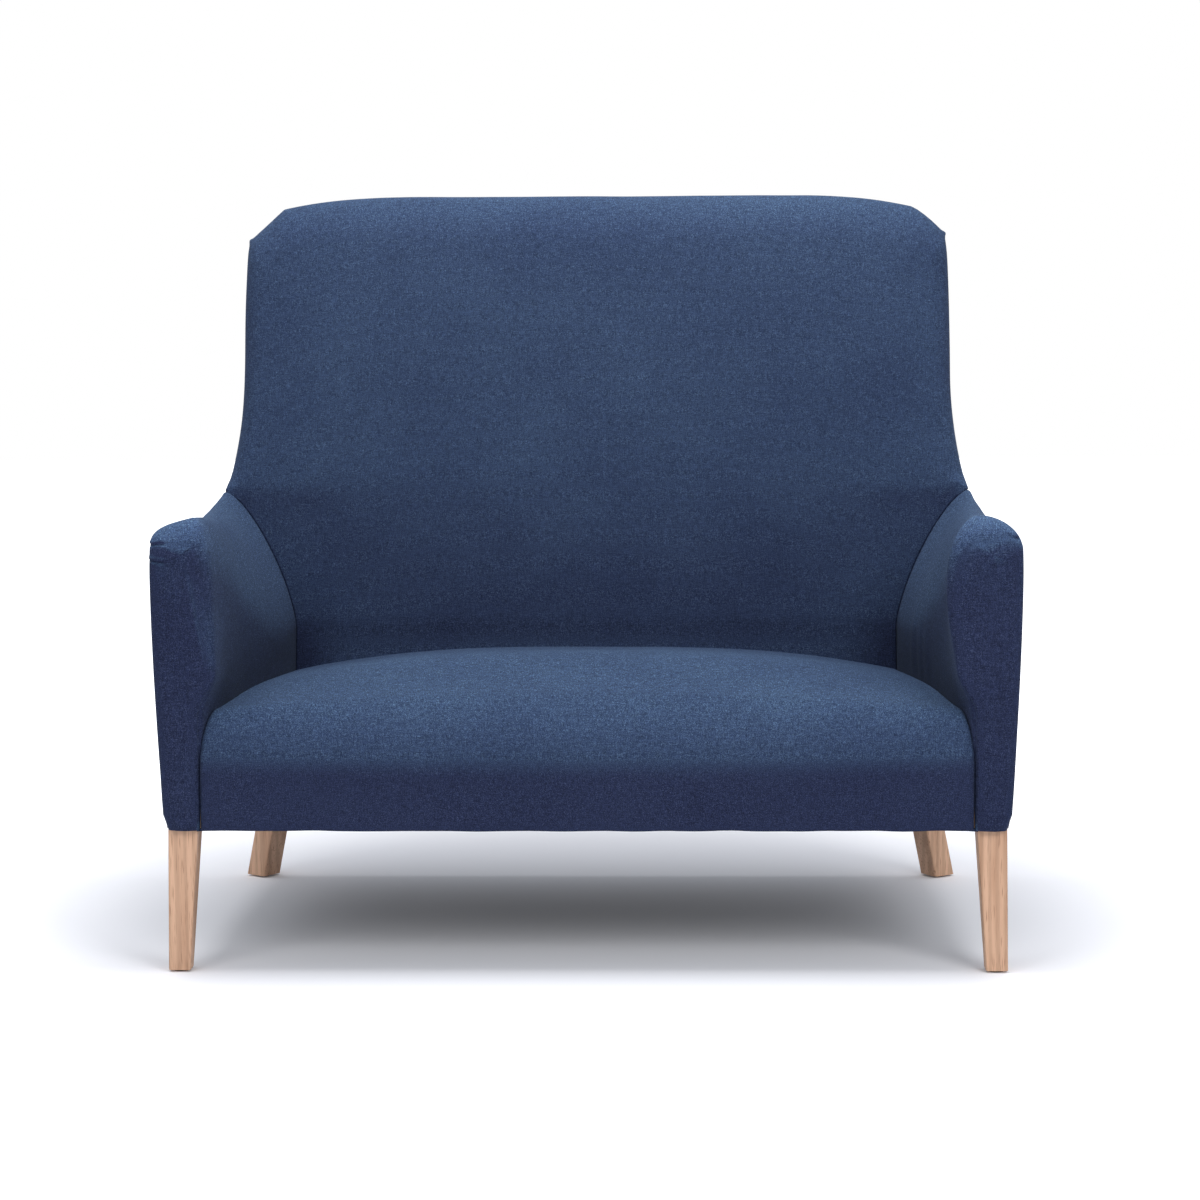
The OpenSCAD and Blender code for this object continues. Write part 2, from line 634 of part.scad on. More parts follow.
module along_bolt(front) {
    if (front) translate([front_bolt[0], front_bolt[1], rail_z]) children();
    else translate([rear_top[0], rear_top[1], rail_z])
        rotate([0, 0, rear_turn]) rotate([0, -rear_tilt, 0]) children();
}
module bolt_hole() {
    translate([0, 0, -bolt_in_leg - hole_gap])
        cylinder(h = bolt_in_leg + oversize + hole_gap, d = bolt_d + 2 * hole_gap, $fn = fine);
}
module front_leg() {
    color("burlywood") difference() {
        hull() {
            translate([front_top_x, front_leg_y + front_leg_top / 2, rail_z - leg_edge_r])
                linear_extrude(height = leg_edge_r) rounded_square(front_leg_top, leg_edge_r, $fn = 32);
            translate([front_foot_x, front_leg_y + front_leg_foot / 2, glide_t])
                linear_extrude(height = leg_edge_r) rounded_square(front_leg_foot, leg_edge_r, $fn = 32);
        }
        along_bolt(true) bolt_hole();
    }
}
module rear_leg() {
    color("burlywood") difference() {
        intersection() {
            along_bolt(false)
                translate([0, 0, -2 * leg_l])
                    linear_extrude(height = 3 * leg_l) rounded_square(rear_leg_w, leg_edge_r);
            translate([0, 0, glide_t])
                linear_extrude(height = leg_l) square([2 * settee_w, 2 * settee_d], center = true);
        }
        along_bolt(false) bolt_hole();
    }
}
module leg_glides() {
    color("dimgray") for (side = [-1, 1]) on_side(side) {
        translate([front_foot_x, front_leg_y + front_leg_foot / 2, 0])
            cylinder(h = glide_t, d = glide_d, $fn = fine);
        translate([rear_top[0] + rear_splay, rear_top[1] + rear_kick, 0])
            cylinder(h = glide_t, d = glide_d, $fn = fine);
    }
}
nut_top = block_h - nut_sink;
nut_l = nut_top / 2;
module leg_bolts() {
    color("silver") for (side = [-1, 1]) for (front = [true, false])
        on_side(side) along_bolt(front)
            translate([0, 0, -bolt_in_leg])
                cylinder(h = bolt_in_leg + nut_top, d = bolt_d, $fn = fine);
}
module tee_nuts() {
    color("silver") for (side = [-1, 1]) for (front = [true, false])
        on_side(side) along_bolt(front) difference() {
            union() {
                translate([0, 0, nut_top - nut_l]) cylinder(h = nut_l, d = nut_d, $fn = fine);
                translate([0, 0, nut_top - nut_flange_t])
                    cylinder(h = nut_flange_t, d = nut_flange_d, $fn = fine);
            }
            cylinder(h = block_h, d = bolt_d + 2 * hole_gap, $fn = fine);
        }
}
// What a corner block loses for its bolt and nut, and above the nut's flange.
module nut_room() {
    translate([0, 0, -block_h]) cylinder(h = 3 * block_h, d = bolt_d + 2 * hole_gap, $fn = fine);
    translate([0, 0, nut_top - nut_l - hole_gap])
        cylinder(h = block_h, d = nut_d + 2 * hole_gap, $fn = fine);
    translate([0, 0, nut_top - nut_flange_t])
        cylinder(h = block_h, d = nut_flange_d + 2 * hole_gap, $fn = fine);
}

// Seat frame.
rear_rail_y = out_y(rail_z) - shell_in;
rear_rail_front_y = rear_rail_y - rail_t;
side_rail_end_y = corner_start_y(rail_z);
side_rail_in = outer_x(side_rail_end_y, rail_z) - shell_in - rail_t;
rear_rail_half = outer_x(side_rail_end_y, rail_z) - corner_r(rail_z);
front_rail_y = frame_y + rail_t;
side_rail_y = board_rear_y + block_back_l;

module front_rail() {
    color("tan") difference() {
        translate([-arm_board_in, frame_y, rail_z]) cube([2 * arm_board_in, rail_t, seat_rail_h]);
        for (side = [-1, 1]) on_side(side) screw_holes();
    }
}
module back_rail() {
    color("tan") translate([-rear_rail_half, rear_rail_front_y, rail_z])
        cube([2 * rear_rail_half, rail_t, seat_rail_h]);
}
module side_rail() {
    color("tan") side_plank(side_rail_y, side_rail_end_y, rail_z, rail_z, seat_rail_h,
        side_rail_in, shell_in);
}
module centre_rail() {
    color("tan") translate([-rail_t / 2, front_rail_y, rail_z])
        cube([rail_t, rear_rail_front_y - front_rail_y, seat_rail_h]);
}
module front_corner_blocks() {
    color("tan") for (side = [-1, 1]) on_side(side) {
        difference() {
            translate([0, 0, rail_z]) linear_extrude(height = block_h) polygon([
                [arm_board_in, frame_y],
                [outer_x(frame_y, rail_z) - shell_in, frame_y],
                [outer_x(side_rail_y, rail_z) - shell_in, side_rail_y],
                [side_rail_in, side_rail_y],
                [side_rail_in - block_l, front_rail_y],
                [arm_board_in, front_rail_y]
            ]);
            along_bolt(true) nut_room();
        }
    }
}
module rear_corner_blocks() {
    r = corner_r(rail_z) - shell_in - corner_sag(rail_z);
    cx = rear_rail_half;
    cy = side_rail_end_y;
    color("tan") for (side = [-1, 1]) on_side(side) difference() {
        translate([cx, cy, rail_z]) linear_extrude(height = block_h) intersection() {
            circle(r = r, $fn = 2 * fine);
            square(r);
        }
        along_bolt(false) nut_room();
    }
}

// Frame screws, each with its head towards the shaft's start. Two join each side board to the
// post behind the arm, and two join each front board to the front rail.
screw_inset = screw_l / 2;
module screw_places() {
    for (z = [liner_z + screw_inset, liner_z + 3 * screw_inset])
        translate([arm_board_in - side_board_t + screw_head_h, rear_post_y + rail_t / 2, z])
            rotate([0, 90, 0]) children();
    for (z = [rail_z + block_h + screw_head_d, rail_top - screw_head_d])
        translate([arm_board_in + screw_inset, frame_y + rail_t / 2, z])
            rotate([0, -90, 0]) children();
}
module frame_screws() {
    color("silver") for (side = [-1, 1]) on_side(side) screw_places() {
        cylinder(h = screw_l - screw_head_h, d = screw_d, $fn = fine);
        translate([0, 0, -screw_head_h]) cylinder(h = screw_head_h, d = screw_head_d, $fn = fine);
    }
}
module screw_holes() {
    screw_places() {
        translate([0, 0, -oversize])
            cylinder(h = screw_l - screw_head_h + hole_gap + oversize, d = screw_d + 2 * hole_gap, $fn = fine);
        translate([0, 0, -screw_l]) cylinder(h = screw_l, d = screw_head_d + 2 * hole_gap, $fn = fine);
    }
}

// Frames of the arms.
board_shares = [0, 0.17, 0.33, 0.5, 0.67, 0.83, 1];
rear_post_y = web_y(arm_board_top) - rail_t - fit;
module arm_front_board() {
    z0 = rail_z + block_h;
    color("tan") difference() {
        translate([0, board_rear_y, 0]) rotate([90, 0, 0])
            linear_extrude(height = arm_board_t)
                polygon(concat(
                    [[arm_board_in, arm_board_top], [arm_board_in, z0]],
                    [for (s = board_shares) let (z = mix(z0, arm_board_top, s))
                        [outer_x(board_rear_y, z) - shell_in - fit, z]]
                ));
        screw_holes();
    }
}
module arm_top_rail() {
    color("tan") side_plank(board_rear_y, rear_post_y, arm_board_top, arm_board_top - arm_rail_h,
        arm_rail_h, frame_in, shell_in + fit);
}
module arm_tack_rail() {
    color("tan") side_plank(board_rear_y, rear_post_y, cushion_z, cushion_z, tack_rail_h,
        frame_in, shell_in);
}
module arm_rear_post() {
    color("tan") difference() {
        side_plank(rear_post_y, rear_post_y + rail_t, rail_top, rail_top + 2 * web_t + 3 * fit,
            arm_board_top - rail_top - 2 * web_t - 3 * fit, arm_board_in, shell_in + arm_hem_tuck / 4);
        screw_holes();
    }
}
module arm_inner_panel() {
    color("wheat") translate([arm_board_in, board_rear_y, cushion_z])
        cube([inner_panel_t, rear_post_y - board_rear_y, arm_board_top - cushion_z]);
}

// Frame of the back.
board_out = arm_board_in;
function board_rear_y_at(z) =
    let (r = corner_r(z),
         xc = (z > notch_z ? side_x(z) : outer_x(corner_start_y(z), z)) - r,
         dx = max(0, board_out - xc))
    corner_start_y(z) + sqrt(max(0, pow(r - shell_in - corner_sag(z), 2) - dx * dx)) - fit;
module across_x(x0, x1) {
    translate([x1, 0, 0]) rotate([90, 0, -90]) linear_extrude(height = x1 - x0) mirror([1, 0]) children();
}
module back_side_board() {
    z0 = rail_z + block_h;
    color("burlywood") difference() {
        across_x(board_out - side_board_t, board_out) polygon(concat(
            [[corner_start_y(rail_z) + fit, z0]],
            [for (s = board_shares) let (z = mix(z0, top_rail_top, s)) [board_rear_y_at(z), z]],
            [[web_y(top_rail_top), top_rail_top], [web_y(cushion_z), cushion_z],
             [corner_start_y(rail_z) + fit, cushion_z]]
        ));
        screw_holes();
    }
}
module back_top_rail() {
    half = board_out - side_board_t;
    color("tan") across_x(-half, half) polygon([
        [web_y(top_rail_z), top_rail_z], [out_y(top_rail_z) - shell_in, top_rail_z],
        [out_y(top_rail_top) - shell_in, top_rail_top], [web_y(top_rail_top), top_rail_top]
    ]);
}
module back_liner_rail() {
    half = board_out - side_board_t;
    color("tan") across_x(-half, half) polygon([
        [web_y(cushion_z), cushion_z], [web_y(cushion_z) + rail_t, cushion_z],
        [web_y(liner_z) + rail_t, liner_z], [web_y(liner_z), liner_z]
    ]);
}
module back_stile() {
    color("tan") across_x(-stile_w / 2, stile_w / 2) polygon([
        [out_y(rail_top) - shell_in - rail_t, rail_top], [out_y(rail_top) - shell_in, rail_top],
        [out_y(top_rail_z) - shell_in, top_rail_z], [out_y(top_rail_z) - shell_in - rail_t, top_rail_z]
    ]);
}

// Webbing. Strips stand a share of their width apart.
web_gap_share = 1.1;
web_start_share = 0.6;
web_pitch = web_w * (1 + web_gap_share);
along_count = 2 * floor((rear_rail_half - web_w / 2) / web_pitch + 0.5);
across_count = floor((side_rail_end_y - board_rear_y - web_w) / web_pitch);
up_count = 2 * floor((arm_in_rear - web_w / 2) / web_pitch + 0.5);
back_across_count = floor((top_rail_z - liner_z - web_w) / web_pitch);
module seat_webbing_along() {
    color("saddlebrown") for (i = [0:along_count - 1])
        translate([(i - (along_count - 1) / 2) * web_pitch - web_w / 2, frame_y, rail_top])
            cube([web_w, rear_rail_y - frame_y, web_t]);
}
module seat_webbing_across() {
    half = side_rail_in + rail_t / 2;
    color("saddlebrown") for (i = [0:across_count - 1])
        translate([-half, board_rear_y + web_pitch * (i + web_start_share), rail_top + web_t + fit])
            cube([2 * half, web_w, web_t]);
}
module back_webbing_up() {
    color("saddlebrown") for (i = [0:up_count - 1]) let (x = (i - (up_count - 1) / 2) * web_pitch)
        across_x(x - web_w / 2, x + web_w / 2) polygon([
            [web_y(cushion_z) - web_t, cushion_z], [web_y(cushion_z), cushion_z],
            [web_y(top_rail_top), top_rail_top], [web_y(top_rail_top) - web_t, top_rail_top]
        ]);
}
module back_webbing_across() {
    color("saddlebrown") for (i = [0:back_across_count - 1]) let (z = liner_z + web_pitch * (i + web_start_share))
        across_x(-board_out, board_out) polygon([
            [web_y(z) - 2 * web_t - fit, z], [web_y(z) - web_t - fit, z],
            [web_y(z + web_w) - web_t - fit, z + web_w], [web_y(z + web_w) - 2 * web_t - fit, z + web_w]
        ]);
}

// Outer panels.
module outside_arm_panel() {
    color("peru") grid_shell(side_grid(skin, rail_z, true), side_grid(shell_in - fit / 2, rail_z, true));
}
module outside_back_panel() {
    color("peru") grid_shell(outside_back_grid(skin, rail_z), outside_back_grid(shell_in - fit / 2, rail_z));
}

// Foam and wadding.
function pad_y(z) = web_y(z) - 2 * web_t - 3 * fit;
module seat_foam() {
    rings = seat_rings(skin, cushion_z);
    color("wheat") ring_solid(rings, [0, 0, cushion_z], seat_point(0, 0, skin));
}
module front_border_wadding() {
    half = seat_half_w(frame_y, cushion_z, skin);
    color("whitesmoke") translate([-half, front_y + skin, rail_z])
        cube([2 * half, front_pad - skin, cushion_z - rail_z - fit]);
}
module back_foam() {
    color("wheat") difference() {
        ring_solid(back_rings(skin, oversize), [0, rear_y - corner_top_r, notch_z], back_point(0, 0, skin));
        across_x(-half_w, half_w) polygon([
            [pad_y(0), 0], [rear_y + oversize, 0],
            [rear_y + oversize, settee_h], [out_y(settee_h) - shell_in - fit, settee_h],
            [out_y(top_rail_top) - shell_in - fit, top_rail_top + fit],
            [pad_y(top_rail_top + fit), top_rail_top + fit]
        ]);
    }
}
module arm_foam() {
    color("wheat") difference() {
        grid_solid(arm_rows(skin, rail_z + fit));
        translate([arm_board_in - fit, frame_y - fit, 0])
            cube([half_w, settee_d, arm_board_top + fit]);
    }
}

// Covers.
module seat_cover() {
    color("#34466e") ring_shell(seat_rings(0, hem_h), seat_rings(cover_t, hem_h),
        seat_point(0, 0, 0), seat_point(0, 0, cover_t));
}
module inside_back_cover() {
    color("#34466e") ring_shell(back_rings(0, -fit), back_rings(cover_t, -fit),
        back_point(0, 0, 0), back_point(0, 0, cover_t));
}
module arm_cover() {
    color("#34466e") grid_shell(arm_rows(0, hem_h), arm_rows(cover_t, hem_h), bridged = true);
}
module outside_arm_cover() {
    color("#34466e") grid_shell(side_grid(0, hem_h, false), side_grid(cover_t, hem_h, false));
}
module outside_back_cover() {
    color("#34466e") grid_shell(outside_back_grid(0, hem_h), outside_back_grid(cover_t, hem_h));
}
module dust_cover() {
    side_end = side_rail_end_y;
    x_end = rear_rail_half;
    hole = 2 * tuck_gap;
    color("dimgray") translate([0, 0, rail_z - dust_t]) linear_extrude(height = dust_t) difference() {
        union() {
            polygon([
                [-outer_x(frame_y, hem_h) + shell_in, frame_y], [outer_x(frame_y, hem_h) - shell_in, frame_y],
                [outer_x(side_end, hem_h) - shell_in, side_end], [x_end, side_end],
                [x_end, rear_rail_y], [-x_end, rear_rail_y],
                [-x_end, side_end], [-outer_x(side_end, hem_h) + shell_in, side_end]
            ]);
            for (side = [-1, 1]) translate([side * x_end, side_end])
                circle(r = corner_r(rail_z) - shell_in, $fn = 2 * fine);
        }
        for (side = [-1, 1]) mirror([side < 0 ? 1 : 0, 0]) {
            translate(front_bolt) square(front_leg_top + hole, center = true);
            translate(rear_top) rotate(rear_turn) square(rear_leg_w / cos(rear_tilt) + hole, center = true);
        }
    }
}

on_side(-1) front_leg();  // front_leg_left
on_side(1) front_leg();  // front_leg_right
on_side(-1) rear_leg();  // rear_leg_left
on_side(1) rear_leg();  // rear_leg_right
leg_glides();
leg_bolts();
tee_nuts();
front_rail();
back_rail();
on_side(-1) side_rail();  // side_rail_left
on_side(1) side_rail();  // side_rail_right
centre_rail();
front_corner_blocks();
rear_corner_blocks();
frame_screws();
on_side(-1) arm_front_board();  // arm_front_board_left
on_side(1) arm_front_board();  // arm_front_board_right
on_side(-1) arm_top_rail();  // arm_top_rail_left
on_side(1) arm_top_rail();  // arm_top_rail_right
on_side(-1) arm_tack_rail();  // arm_tack_rail_left
on_side(1) arm_tack_rail();  // arm_tack_rail_right
on_side(-1) arm_rear_post();  // arm_rear_post_left
on_side(1) arm_rear_post();  // arm_rear_post_right
on_side(-1) back_side_board();  // back_side_board_left
on_side(1) back_side_board();  // back_side_board_right
back_top_rail();
back_liner_rail();
back_stile();
on_side(-1) arm_inner_panel();  // arm_inner_panel_left
on_side(1) arm_inner_panel();  // arm_inner_panel_right
on_side(-1) outside_arm_panel();  // outside_arm_panel_left
on_side(1) outside_arm_panel();  // outside_arm_panel_right
outside_back_panel();
seat_webbing_along();
seat_webbing_across();
back_webbing_up();
back_webbing_across();
seat_foam();
front_border_wadding();
back_foam();
on_side(-1) arm_foam();  // arm_foam_left
on_side(1) arm_foam();  // arm_foam_right
seat_cover();
inside_back_cover();
on_side(-1) arm_cover();  // arm_cover_left
on_side(1) arm_cover();  // arm_cover_right
on_side(-1) outside_arm_cover();  // outside_arm_cover_left
on_side(1) outside_arm_cover();  // outside_arm_cover_right
outside_back_cover();
dust_cover();
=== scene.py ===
# A high back settee in navy wool on pale oak legs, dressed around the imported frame.
# Lengths are in millimetres. They are in metres where a name ends in _m, and in the materials, the lamps
# and the camera. X runs across, the front faces -Y and Z is up.
import json
import math

import bmesh
import bpy
import numpy
from mathutils import Euler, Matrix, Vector, noise


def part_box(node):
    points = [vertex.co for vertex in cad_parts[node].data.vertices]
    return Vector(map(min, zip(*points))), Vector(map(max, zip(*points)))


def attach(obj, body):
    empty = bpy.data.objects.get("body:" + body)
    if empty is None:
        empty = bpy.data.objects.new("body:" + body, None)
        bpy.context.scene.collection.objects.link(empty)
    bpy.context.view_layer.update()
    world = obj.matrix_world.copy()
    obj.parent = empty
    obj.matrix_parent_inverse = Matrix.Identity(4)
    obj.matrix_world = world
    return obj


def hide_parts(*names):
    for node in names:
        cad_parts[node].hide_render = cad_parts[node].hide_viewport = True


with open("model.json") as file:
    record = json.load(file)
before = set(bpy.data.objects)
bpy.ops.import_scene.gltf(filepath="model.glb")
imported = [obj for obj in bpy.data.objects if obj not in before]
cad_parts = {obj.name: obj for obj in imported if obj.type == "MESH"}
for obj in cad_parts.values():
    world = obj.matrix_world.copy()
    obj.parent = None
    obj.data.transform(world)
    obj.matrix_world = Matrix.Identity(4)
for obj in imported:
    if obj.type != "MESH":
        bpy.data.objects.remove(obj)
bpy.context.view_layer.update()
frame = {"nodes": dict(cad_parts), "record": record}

MM = 0.001

# Sizes of the covers, as the frame's pieces are cut.
settee_w, settee_d, settee_h, hem_h = 1270, 800, 1163, 213
seat_depth, seat_side_h, seat_crown = 552, 385, 53
seat_roll_h, seat_roll_l, seat_roll_side_l = 302, 85, 55
arm_h, arm_swell_h, arm_front_w, arm_low_w, arm_rear_w = 672, 584, 94, 67, 140
arm_hem_tuck, arm_rear_tuck, arm_crest_in, arm_crest_in_rear = 15, 18, 55, 6
arm_shoulder_h, arm_shoulder_rear_h, arm_edge_h, arm_dip, arm_sweep = 60, 218, 46, 16, 16
arm_tail = 64
back_in, back_top_t, outside_rake = 44, 94, 3.4
back_flare, back_flare_h, ear_tuck, ear_drop, corner_cut = 26, 860, 5, 73, 57
right_ear_up, ear_power, right_cut_power = 7, 5, 1.3
ear_nub, ear_nub_w, ear_hold = 2.5, 5, 30
top_flat, top_fall, top_roll_h, top_roll_d, side_roll, back_crown = 340, 20, 75, 46, 34, 21
corner_hem_r, corner_top_r = 110, 42
cover_t, tuck_gap, cut_rise, cut_over, dust_t = 2, 1.6, 3, 0.6, 0.8
cushion_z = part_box("seat_foam")[0][2] / MM

thicken_start_share, thicken_length_share, step_share = 0.2, 0.9, 0.36
dip_share, sweep_share, crest_tuck_share, low_roll_share, crown_rise_share = 0.5, 0.68, 0.3, 0.06, 0.42
front_crown_share, rear_crown_share, full_crown_share = 0.2, 0.68, 0.5
shoulder_power, shoulder_rear_power, edge_power = 2.2, 1.35, 1.9
swell_power, step_power, fall_power, crown_power, blend_power, seat_power = 1.6, 2.2, 2.2, 4, 2.5, 2.8

half_w, front_y, rear_y = settee_w / 2, -settee_d / 2, settee_d / 2
seat_h = seat_side_h + seat_crown
seat_front_half, arm_in_front, arm_in_rear = half_w - arm_low_w, half_w - arm_front_w, half_w - arm_rear_w
face_slope = (settee_d - seat_depth - back_top_t) / (settee_h - seat_h)
back_half_w = half_w - back_in
ear_x, ear_z = back_half_w - ear_tuck, settee_h - ear_drop
cut_x = ear_x - corner_cut


# Curves that the covers share with the frame.
def clamp(t):
    return min(1, max(0, t))


def ease(t):
    s = clamp(t)
    return s * s * (3 - 2 * s)


def mix(a, b, t):
    return a + (b - a) * t


def rolled(d, r):
    return 0 if d >= r else 1 - math.sqrt(max(0, 1 - ((r - d) / r) ** 2))


def bell(distance, width):
    return math.exp(-((distance / width) ** 2))


def face_y(z):
    return front_y + seat_depth + (z - seat_h) * face_slope


def out_y(z):
    return rear_y - (settee_h - z) * math.tan(math.radians(outside_rake))


def corner_r(z):
    return mix(corner_hem_r, corner_top_r, (z - hem_h) / (settee_h - hem_h))


def swell_tuck(z):
    if z < arm_swell_h:
        return arm_hem_tuck * ((arm_swell_h - z) / (arm_swell_h - hem_h)) ** swell_power
    return arm_hem_tuck * crest_tuck_share * ((z - arm_swell_h) / (arm_h - arm_swell_h)) ** 2


def outer_x(y, z):
    return half_w - swell_tuck(z) - arm_rear_tuck * (y - front_y) / settee_d


seam_y = face_y(seat_h)


def way(y):
    return (min(y, seam_y) - front_y) / (seam_y - front_y)


def thick_way(y):
    return ease((way(y) - thicken_start_share) / thicken_length_share)


def base_x(y):
    return mix(arm_in_front, arm_in_rear, thick_way(y) / thick_way(seam_y))


def low_x(y):
    step = max(0, seat_front_half - arm_in_front) * max(0, 1 - way(y) / step_share) ** step_power
    return base_x(y) + step


def crest_z(y):
    sweep = max(0, (way(y) - sweep_share) / (1 - sweep_share)) ** 2
    return arm_h - arm_dip * ease(way(y) / dip_share) + arm_sweep * sweep


def crest_x(y):
    return outer_x(min(y, seam_y), arm_h) - mix(arm_crest_in, arm_crest_in_rear, ease(way(y)))


def shoulder_h(y):
    return mix(arm_shoulder_h, arm_shoulder_rear_h, ease(way(y)))


def shoulder_n(y):
    return mix(shoulder_power, shoulder_rear_power, ease(way(y)))


def station(y, z):
    k = (z - seat_h) * face_slope / (seam_y - front_y)
    return (y + k * front_y) / (1 + k)


def inner_x(y, z):
    z0, n, b = crest_z(y) - shoulder_h(y), shoulder_n(y), base_x(y)
    if z <= z0:
        return mix(low_x(y), b, ease((z - seat_side_h) / arm_shoulder_h))
    if z >= crest_z(y):
        return crest_x(y)
    return crest_x(y) - (crest_x(y) - b) * (1 - ((z - z0) / shoulder_h(y)) ** n) ** (1 / n)


notch_z = crest_z(seam_y)
cut_top_z = notch_z + cut_rise + cut_over


def side_x(z):
    flare = max(0, (back_flare_h - z) / (back_flare_h - notch_z)) ** 2
    tuck = ear_tuck * clamp((z - back_flare_h) / (ear_z - back_flare_h)) ** ear_power
    return back_half_w + back_flare * flare - tuck


def ear_at(x):
    return ear_z + (right_ear_up if x > 0 else 0)


def top_z(x):
    a = abs(x)
    if a > cut_x:
        share = (a - cut_x) / corner_cut
        return mix(settee_h - top_fall, ear_at(x), share**right_cut_power if x > 0 else share)
    return settee_h - top_fall * max(0, (a - top_flat) / (cut_x - top_flat)) ** fall_power


def wander(point, size, seed):
    """A smooth value from about -1 to 1 that changes over size, the same on every run."""
    x, y, z = point
    return noise.noise(Vector((x / size + seed, y / size, z / size)))


# Meshes from rows of points.
weld_gap, sliver_w = 0.05, 0.02


def grid_faces(rows, cols, start=0):
    """Faces between rows of points, where start is the number of the first point."""
    corners = [start + r * cols + c for r in range(rows - 1) for c in range(cols - 1)]
    return [(i, i + 1, i + cols + 1, i + cols) for i in corners]


def new_object(name, points, faces):
    mesh = bpy.data.meshes.new(name)
    mesh.from_pydata([tuple(v * MM for v in p) for p in points], [], faces)
    obj = bpy.data.objects.new(name, mesh)
    bpy.context.scene.collection.objects.link(obj)
    work = bmesh.new()
    work.from_mesh(mesh)
    bmesh.ops.remove_doubles(work, verts=work.verts, dist=weld_gap * MM)
    bmesh.ops.dissolve_degenerate(work, edges=work.edges, dist=sliver_w * MM)
    bmesh.ops.recalc_face_normals(work, faces=work.faces)
    work.to_mesh(mesh)
    work.free()
    mesh.shade_smooth()
    return obj


def sheet_object(name, rows):
    """A sheet from rows of points, all rows alike in length."""
    return new_object(name, [p for row in rows for p in row], grid_faces(len(rows), len(rows[0])))


def face_outwards(obj, centre):
    """Turns the sheet's faces so that most of them look away from a point inside it."""
    inside = Vector(centre) * MM
    away = sum((p.center - inside).dot(p.normal) * p.area for p in obj.data.polygons)
    if away < 0:
        obj.data.flip_normals()


def applied(obj, modifier):
    """Keeps what the modifier makes of the object and takes the modifier off."""
    bpy.context.view_layer.update()
    made = bpy.data.meshes.new_from_object(obj.evaluated_get(bpy.context.evaluated_depsgraph_get()))
    obj.modifiers.remove(modifier)
    old = obj.data
    obj.data = made
    bpy.data.meshes.remove(old)
    obj.data.shade_smooth()


def thicken(obj, thickness):
    solid = obj.modifiers.new("thickness", "SOLIDIFY")
    solid.thickness = thickness * MM
    solid.offset = -1
    solid.use_even_offset = False
    applied(obj, solid)


def push(obj, depth_at):
    """Moves each point along its normal by a depth that depends on where it is."""
    normals = [v.normal.copy() for v in obj.data.vertices]
    for v, normal in zip(obj.data.vertices, normals):
        v.co += normal * depth_at(v.co / MM) * MM


def rolled_stations(inner, roll_share, steps):
    """Stations from 0 to 1: evenly spaced at first, then gathering along the rolled edge."""
    flat = [(1 - roll_share) * i / inner for i in range(inner)]
    bend = [1 - roll_share * (1 - math.cos(math.pi / 2 * (steps - i) / steps)) for i in range(steps + 1)]
    return flat + bend


def mirrored(stations):
    """The same stations on both sides of 0."""
    return [-s for s in reversed(stations[1:])] + stations


# The back: one cover over the face, the top and both sides.
back_low_z = cushion_z
cut_normal = Vector((settee_h - top_fall - ear_z, corner_cut)).normalized()
seam_gap = 0.3
edge_sink, edge_roll = 2.2, 7.0
tail_l, mitre_l, crown_below, roll_rise = 60, 70, 8, 30
back_flat_cols, back_roll_cols, back_flat_rows, back_roll_rows = 46, 9, 60, 12
row_gap, fine_step = 0.01, 0.002
# How far along the cover behind the face's edge each row lies.
wall_shares = (0, 0.04, 0.1, 0.2, 0.32, 0.44, 0.55, 0.65, 0.74, 0.82, 0.89, 0.94, 0.975, 0.99, 1)
cut_mitre = (1 - cut_normal[1]) / cut_normal[0]
ear_mitre = (1 - cut_normal[0]) / cut_normal[1]


def wrap_r(z):
    return corner_r(min(z, ear_z))


def back_side(z):
    return side_x(z) if z > notch_z else inner_x(seam_y, z) - seam_gap


def back_roll_y(x, z, u):
    side = side_roll * mix(low_roll_share, 1, ease((z - notch_z) / roll_rise))
    over_side = side * rolled(back_side(z) - abs(x), side)
    over_top = top_roll_d * rolled(top_z(u * ear_x) - z, top_roll_h)
    return (over_side**blend_power + over_top**blend_power) ** (1 / blend_power)


def back_point(u, v):
    z = mix(back_low_z, top_z(u * ear_x), (v + 1) / 2)
    x = u * back_side(z)
    crown = back_crown * (1 - abs(u) ** crown_power) * (1 - abs(v) ** crown_power)
    rise = clamp((z - seat_h + crown_below) / (crown_rise_share * (settee_h - seat_h)))
    crown *= math.sin(math.pi / 2 * rise)
    return x, face_y(z) - crown + back_roll_y(x, z, u), z


def edge_normal(u, v):
    """The way in from the back's edge, in x and z. It turns slowly round the cut corners."""
    x = abs(u) * ear_x
    if v < 1:
        below = ear_z - mix(back_low_z, ear_z, (v + 1) / 2)
        return math.copysign(1, u), ear_mitre * ease(1 - below / mitre_l)
    if x > cut_x:
        t = (x - cut_x) / corner_cut
        return math.copysign(mix(cut_mitre, 1, t), u), mix(1, ear_mitre, t)
    return math.copysign(cut_mitre * ease(1 - (cut_x - x) / mitre_l), u), 1


def back_wall(u, v, share):
    """A point of the cover behind the edge of the face, with share from 0 at the edge to 1."""
    x, y, z = back_point(u, v)
    r = wrap_r(z)
    if v == -1 or z <= notch_z:
        return x, y + tail_l * share, z
    if z < notch_z + cut_rise:
        return x, mix(y, out_y(z) - r, share), z
    side_l = out_y(z) - r - y
    bend_l = r * math.pi / 2
    along = share * (side_l + bend_l)
    if along <= side_l:
        return x, y + along, z
    angle = (along - side_l) / r
    sink = edge_sink * rolled((1 - share) * (side_l + bend_l), edge_roll)
    nx, nz = edge_normal(u, v)
    turn = r * (1 - math.cos(angle))
    end_z = z - nz * turn
    return x - nx * turn, out_y(end_z) - r + r * math.sin(angle) - sink, end_z


